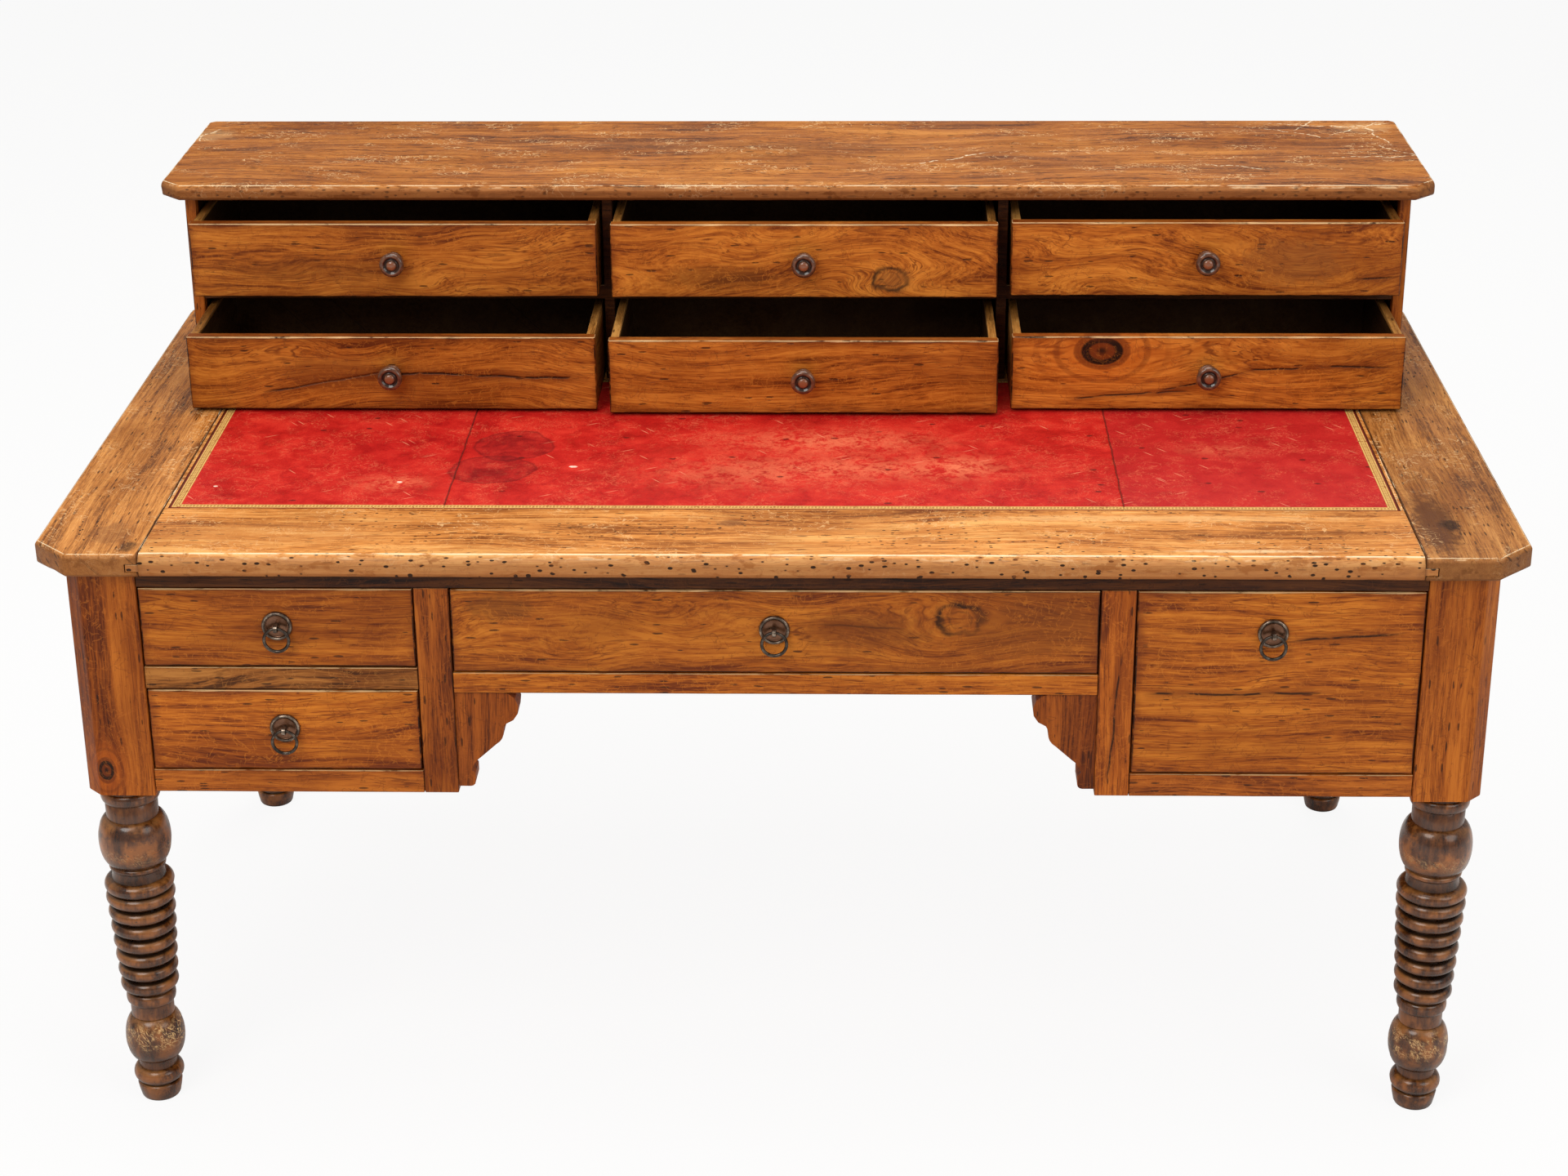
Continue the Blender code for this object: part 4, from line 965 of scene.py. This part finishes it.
def cut_shape(piece, cutter):
    """Cuts a shape out of a piece for good."""
    mesh = new_mesh("cutter", cutter)
    tool = new_object("cutter", mesh)
    cut = piece.modifiers.new("cut", "BOOLEAN")
    cut.object = tool
    cut.solver = "EXACT"
    bpy.context.view_layer.update()
    done = bpy.data.meshes.new_from_object(piece.evaluated_get(bpy.context.evaluated_depsgraph_get()))
    piece.modifiers.remove(cut)
    piece.data = done
    bpy.data.objects.remove(tool)
    bpy.data.meshes.remove(mesh)


def make_leather():
    """A thin hide, slightly uneven, with its seams and its rim pressed in."""
    low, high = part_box("leather_inset")
    shape = bmesh.new()
    columns = [low.x + (high.x - low.x) * i / 240 for i in range(241)]
    columns += [seam + d for seam in SEAMS for d in (-SEAM_HALF, 0.0, SEAM_HALF)]
    rows = [low.y + (high.y - low.y) * i / 80 for i in range(81)]
    grid = []
    for x in sorted(columns):
        line = []
        for y in rows:
            slow, quick = rough_noise((x, y, 0.0), 9.0, 2.0), rough_noise((x, y, 0.0), 40.0, 4.0)
            sag = 0.00022 * (0.5 + 0.5 * slow) + 0.00012 * quick
            inner = min(x - low.x, high.x - x, y - low.y, high.y - y)
            seam = min(abs(x - place) for place in SEAMS)
            dip = 0.0006 * max(0.0, 1.0 - seam / SEAM_HALF) + 0.0005 * max(0.0, 1.0 - inner / 0.003) ** 2
            line.append(shape.verts.new((x, y, high.z - max(0.0, sag) - dip)))
        grid.append(line)
    for line, following in zip(grid, grid[1:]):
        for j in range(len(rows) - 1):
            shape.faces.new((line[j], following[j], following[j + 1], line[j + 1]))
    border = [edge for edge in shape.edges if edge.is_boundary]
    for item in bmesh.ops.extrude_edge_only(shape, edges=border)["geom"]:
        if isinstance(item, bmesh.types.BMVert):
            item.co.z = low.z
    bmesh.ops.recalc_face_normals(shape, faces=shape.faces)
    add_piece("leather_hide", shape, "leather_inset", leather())


def make_gallery():
    """The gallery without its drawers: top board, sides, shelf with uprights, back."""
    low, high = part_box("gallery_top")
    cut, clip = 0.028, 0.009
    outline = [(low.x + cut, low.y), (high.x - cut, low.y), (high.x, low.y + cut), (high.x, high.y - clip),
               (high.x - clip, high.y), (low.x + clip, high.y), (low.x, high.y - clip), (low.x, low.y + cut)]
    shape = moulded(outline, [1.0, 0.8, 0.5, 0.3, 0.3, 0.3, 0.5, 0.8], low.z, high.z, upper=0.008,
                    lower=0.005, step=0.012, depth=0.0016, seed=12.0)
    marks = [(0.80, 0.43, 0.05, 0.03, PALE, 0.25), (-0.815, 0.39, 0.04, 0.04, PALE, 0.25),
             (0.62, 0.22, 0.20, 0.02, (0.20, 0.07, 0.02), 0.4),
             (-0.10, 0.33, 0.35, 0.03, (0.20, 0.07, 0.02), 0.35)]
    scratches = [(0.745, 0.436, 0.20, -0.25), (0.800, 0.440, 0.10, 0.3), (0.812, 0.385, 0.12, 1.75),
                 (0.70, 0.40, 0.12, -0.5), (0.79, 0.425, 0.14, 0.75), (0.83, 0.30, 0.10, -0.9),
                 (0.72, 0.445, 0.09, 0.9), (0.79, 0.27, 0.16, 0.12), (0.60, 0.22, 0.10, -0.3),
                 (0.21, 0.26, 0.16, 0.55), (-0.82, 0.385, 0.09, 1.2)]
    crown = wood("gallery_top_wood", 0, CROWN, 63.0, 1, figure=0.060, holes=0.3, scuff=0.65, wear=0.75,
                 nose_shade=(0.33, 0.140, 0.052), shine=0.08, stains=marks, gloss=0.42, mottle=0.42,
                 scratches=scratches)
    even_normals(add_piece("gallery_top_worn", shape, "gallery_top", crown))
    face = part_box("gallery_side_left")[0].y
    for node in ("gallery_side_left", "gallery_side_right"):
        low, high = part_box(node)
        inner = (high.x - 0.0005, None) if node.endswith("left") else (None, low.x + 0.0005)
        # painted shade on the inner face behind the front
        dark = ((inner[0], face + 0.012, None), (inner[1], None, None))
        worn_board(node, SIDE_EDGE, low.x, 2, POST, 70.0 + low.x, 1, inside=dark)
    # painted shade on the divider behind its front edges
    dark = ((None, face + 0.004, None), (None, None, None))
    worn_board("gallery_divider", HIDDEN_EDGE, 5.0, 0, SHADED, 74.0, inside=dark)
    # painted shade on the front of the back
    dark = ((None, None, None), (None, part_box("gallery_back")[1].y - 0.004, None))
    worn_board("gallery_back", HIDDEN_EDGE, 6.0, 0, OLIVE, 78.0, inside=dark)


def make_frame():
    """Rails, stiles, panels and brackets below the top."""
    rails = {"front_top_rail": (SHADED, {"wear": 0.0}), "left_bottom_rail": (POST, {}),
             "right_bottom_rail": (POST, {}), "centre_rail": (FRONT, {}),
             "left_middle_rail": (OLIVE, {"figure": 0.07})}
    for i, (node, (tones, options)) in enumerate(rails.items()):
        worn_board(node, RAIL_EDGE, 2.0 * i, 0, tones, 80.0 + 3.3 * i, 2, **options)
    for node, tones, cracks in (("stile_left", STILE, []),
                                ("stile_right", toned(POST, 1.25), [(0.47, 0.66, 0.392, 0.10, 0.0016)])):
        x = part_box(node)[0].x
        worn_board(node, STILE_EDGE, x, 2, tones, 96.0 + x * 7, 0, cracks=cracks, wear=0.2)
    for node in ("side_panel_left", "side_panel_right"):
        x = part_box(node)[0].x
        worn_board(node, HIDDEN_EDGE, x, 1, POST, 101.0 + x)
    worn_board("back_panel", HIDDEN_EDGE, 9.0, 0, OLIVE, 107.0)
    for node in ("bracket_left", "bracket_right"):
        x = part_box(node)[0].x
        worn_board(node, BRACKET_EDGE, x, 2, BRACKET, 111.0 + x * 5, 0, wear=0.0, dirt=0.0)


def box_inside(node):
    """The inside of a drawer's box, where shade is painted near black."""
    low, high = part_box(node)
    return (low.x + BOX_WALL, None, low.z + BOX_FLOOR), (high.x - BOX_WALL, high.y - BOX_WALL, high.z - 0.004)


def make_drawers():
    """All drawers: fronts with their own marks, boxes, and a knob or a ring pull."""
    fronts = {
        "left_upper": (0.035, 0.92, {}),
        "left_lower": (0.045, 1.10, {}),
        "centre": (0.070, 0.90, {
            "eyes": [(0.2138, 0.6926, 0.0185)],
            "stains": [(0.10, 0.676, 0.10, 0.035, (0.16, 0.038, 0.004), 0.60),
                       (0.30, 0.68, 0.12, 0.05, (0.20, 0.050, 0.005), 0.55),
                       (-0.33, 0.705, 0.05, 0.022, (0.15, 0.045, 0.006), 0.55)],
            "cracks": [(0.04, 0.16, 0.684, -0.05, 0.0016)]}),
        "right": (0.035, 1.0, {
            "cracks": [(0.425, 0.66, 0.596, 0.0, 0.0020), (0.60, 0.75, 0.664, 0.09, 0.0020)]}),
        "gallery_upper_left": (0.110, 1.0, {
            "stains": [(-0.62, 0.955, 0.16, 0.020, (0.15, 0.040, 0.005), 0.45)]}),
        "gallery_upper_centre": (0.130, 1.14, {
            "eyes": [(0.136, 0.943, 0.0150)],
            "stains": [(-0.09, 0.945, 0.10, 0.022, (0.15, 0.045, 0.006), 0.55),
                       (0.140, 0.942, 0.034, 0.022, (0.21, 0.085, 0.022), 0.40)]}),
        "gallery_upper_right": (0.100, 1.20, {
            "cracks": [(0.735, 0.815, 0.943, 0.03, 0.0018)],
            "stains": [(0.66, 0.965, 0.09, 0.040, (0.24, 0.080, 0.018), 0.50)]}),
        "gallery_lower_left": (0.110, 1.0, {
            "cracks": [(-0.70, -0.50, 0.808, 0.17, 0.0020), (-0.55, -0.26, 0.834, -0.02, 0.0022)],
            "stains": [(-0.60, 0.835, 0.10, 0.030, (0.15, 0.036, 0.005), 0.50)]}),
        "gallery_lower_centre": (0.030, 1.0, {}),
        "gallery_lower_right": (0.060, 1.20, {
            "knots": [(0.412, 0.8646, 0.0205)],
            "cracks": [(0.36, 0.54, 0.800, 0.05, 0.0014), (0.48, 0.63, 0.806, 0.24, 0.0016),
                       (0.59, 0.80, 0.838, 0.03, 0.0016)]}),
    }
    for i, (name, (figure, share, marks)) in enumerate(fronts.items()):
        seed = 130.0 + 6.1 * i
        small = name.startswith("gallery")
        front, box = name + "_front", name + "_box"
        tones = toned(SMALL_FRONT if small else FRONT, share)
        worn_board(front, FRONT_EDGE, seed, 0, tones, seed, 2, figure=figure, border=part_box(front),
                   pores=0.12, wear=0.85, dirt=0.95, **marks)
        # painted shade inside the box
        worn_board(box, BOX_EDGE, seed, 1, RAW, seed + 2.0, wear=0.2, inside=box_inside(box))
        if small:
            make_knob(name, seed)
        else:
            make_pull(name, seed)


def make_knob(name, seed):
    """A turned knob: foot, neck, a rounded rim, a groove and a button."""
    points = [(0.0001, 0.0270), (0.0036, 0.0268), (0.0062, 0.0255), (0.0070, 0.0238), (0.0082, 0.0226),
              (0.0094, 0.0232), (0.0118, 0.0246), (0.0144, 0.0240), (0.0161, 0.0218), (0.0164, 0.0192),
              (0.0150, 0.0166), (0.0116, 0.0144), (0.0086, 0.0126), (0.0078, 0.0100), (0.0084, 0.0070),
              (0.0112, 0.0052), (0.0124, 0.0038), (0.0125, 0.0003)]

    def hollow(radius, height):
        """1 in the groove round the button and on the neck, 0 on the rim and the button."""
        groove = max(0.0, min((radius - 0.0066) / 0.0008, (0.0122 - radius) / 0.0022, 1.0))
        return max(groove * (height > 0.020), max(0.0, 1.0 - abs(height - 0.0105) / 0.004))

    shape, foot = front_lathe(name + "_knob", points, 48, 0.0001, seed, hollow)
    material = knob_wood(name + "_knob_wood", seed, (foot.x, foot.z))
    add_piece(name + "_knob_turned", shape, name + "_knob", material)


def make_pull(name, seed):
    """A dished round plate with an eye, and the ring that hangs in it."""
    points = [(0.0001, 0.0016), (0.0060, 0.0015), (0.0110, 0.0015), (0.0138, 0.0020), (0.0150, 0.0036),
              (0.0164, 0.0042), (0.0178, 0.0034), (0.0185, 0.0018), (0.0185, 0.0003)]

    def dish(radius, _):
        return max(0.0, min(1.0, (0.0150 - radius) / 0.0012))

    shape, foot = front_lathe(name + "_plate", points, 56, 0.00008, seed, dish)
    hinge = foot - Vector((0.0, HINGE_REACH, 0.0))
    add_eye(shape, hinge, foot.y - EYE_ROOT)
    piece = add_piece(name + "_plate_dished", shape, name + "_plate", bronze(name + "_bronze", seed, 0.80))
    piece.data.set_sharp_from_angle(angle=math.radians(50))
    ring = bmesh.new()
    loops = []
    for turn in circle(64):
        wire = RING_WIRE * (1.0 - 0.12 * max(0.0, math.cos(turn)))
        loop = []
        for angle in circle(16):
            reach = RING_RADIUS + wire * math.cos(angle)
            offset = (reach * math.sin(turn), wire * math.sin(angle), reach * math.cos(turn) - RING_RADIUS)
            loop.append(ring.verts.new(hinge + Vector(offset)))
        loops.append(loop)
    skin(ring, loops + loops[:1])
    bmesh.ops.recalc_face_normals(ring, faces=ring.faces)
    add_piece(name + "_ring_round", ring, name + "_ring", bronze(name + "_ring_bronze", seed + 1.0, 0.30))


def add_eye(shape, hinge, root):
    """A rounded eye that stands out of a plate, with a hole along X for the ring."""
    half, ease = 0.0027, 0.0006
    outer, inner = 0.0051, 0.0032
    loops = []
    for x, radius in ((ease - half, outer), (half - ease, outer), (half, inner), (-half, inner)):
        loop = []
        for angle in circle(28):
            y, z = radius * math.cos(angle), radius * math.sin(angle)
            if radius == outer and y > 0.0:
                y = (root - hinge.y) * min(1.0, y / (0.55 * outer))
            loop.append(shape.verts.new(hinge + Vector((x, y, z))))
        loops.append(loop)
    skin(shape, loops + loops[:1])
    bmesh.ops.recalc_face_normals(shape, faces=shape.faces)


def make_camera():
    """The camera of the photograph."""
    data = bpy.data.cameras.new("camera")
    data.lens = CAMERA_LENS
    data.sensor_width = 36.0
    data.sensor_fit = "HORIZONTAL"
    data.clip_end = 200.0
    camera = new_object("camera", data)
    tilt = Matrix.Rotation(math.pi / 2 - CAMERA_PITCH, 4, "X") @ Matrix.Rotation(CAMERA_ROLL, 4, "Z")
    camera.matrix_world = Matrix.Translation(CAMERA_PLACE) @ Matrix.Rotation(CAMERA_YAW, 4, "Z") @ tilt
    bpy.context.scene.camera = camera


def show_camera(owner, output, lit, shown, share):
    """Shows the camera a share of one shader; every other ray meets the other one alone."""
    g = Graph(owner)
    g.nodes.clear()
    ray = g.node("LightPath", output="Is Camera Ray")
    amount = ray * share if share < 1.0 else ray
    blend = g.node("MixShader", enumerate((amount, g.node(*lit), g.node(*shown))))
    g.feed(g.nodes.new(output).inputs["Surface"], blend)


def make_stage():
    """White surroundings, a pale floor that keeps the shadow, and four soft lamps."""
    world = bpy.data.worlds.new("studio")
    bpy.context.scene.world = world
    light = ("Background", {"Color": (1.0, 0.985, 0.96), "Strength": 0.42})
    shown = ("Background", {"Color": (1.0, 1.0, 1.0), "Strength": 1.0})
    show_camera(world, "ShaderNodeOutputWorld", light, shown, 1.0)

    shape = bmesh.new()
    bmesh.ops.create_grid(shape, x_segments=2, y_segments=2, size=30.0)
    mesh = new_mesh("floor", shape)
    floor = new_object("floor", mesh)
    material = bpy.data.materials.new("floor_white")
    matt = ("BsdfDiffuse", {"Color": (0.90, 0.89, 0.88)})
    show_camera(material, "ShaderNodeOutputMaterial", matt, ("Emission",), 0.90)
    mesh.materials.append(material)

    for name, place, aim, size, power in (
            ("key", (-1.7, -3.2, 3.6), (0.0, 0.0, 0.7), 2.6, 95.0),
            ("fill", (2.8, -2.6, 2.2), (0.0, 0.0, 0.6), 2.4, 34.0),
            ("top", (0.2, 0.1, 4.2), (0.0, 0.0, 0.8), 3.0, 70.0),
            ("back", (0.5, 3.2, 4.4), (0.0, 0.3, 0.5), 2.4, 40.0)):
        data = bpy.data.lights.new(name, "AREA")
        data.shape = "DISK"
        data.size = size
        data.energy = power
        data.color = (1.0, 0.97, 0.93)
        lamp = new_object(name, data)
        lamp.location = place
        lamp.rotation_euler = (Vector(aim) - Vector(place)).to_track_quat("-Z", "Y").to_euler()


bpy.context.scene.view_settings.view_transform = "Standard"
make_camera()
make_stage()
make_legs()
make_cleats()
make_panel()
make_leather()
make_frame()
make_gallery()
make_drawers()

bpy.context.view_layer.update()
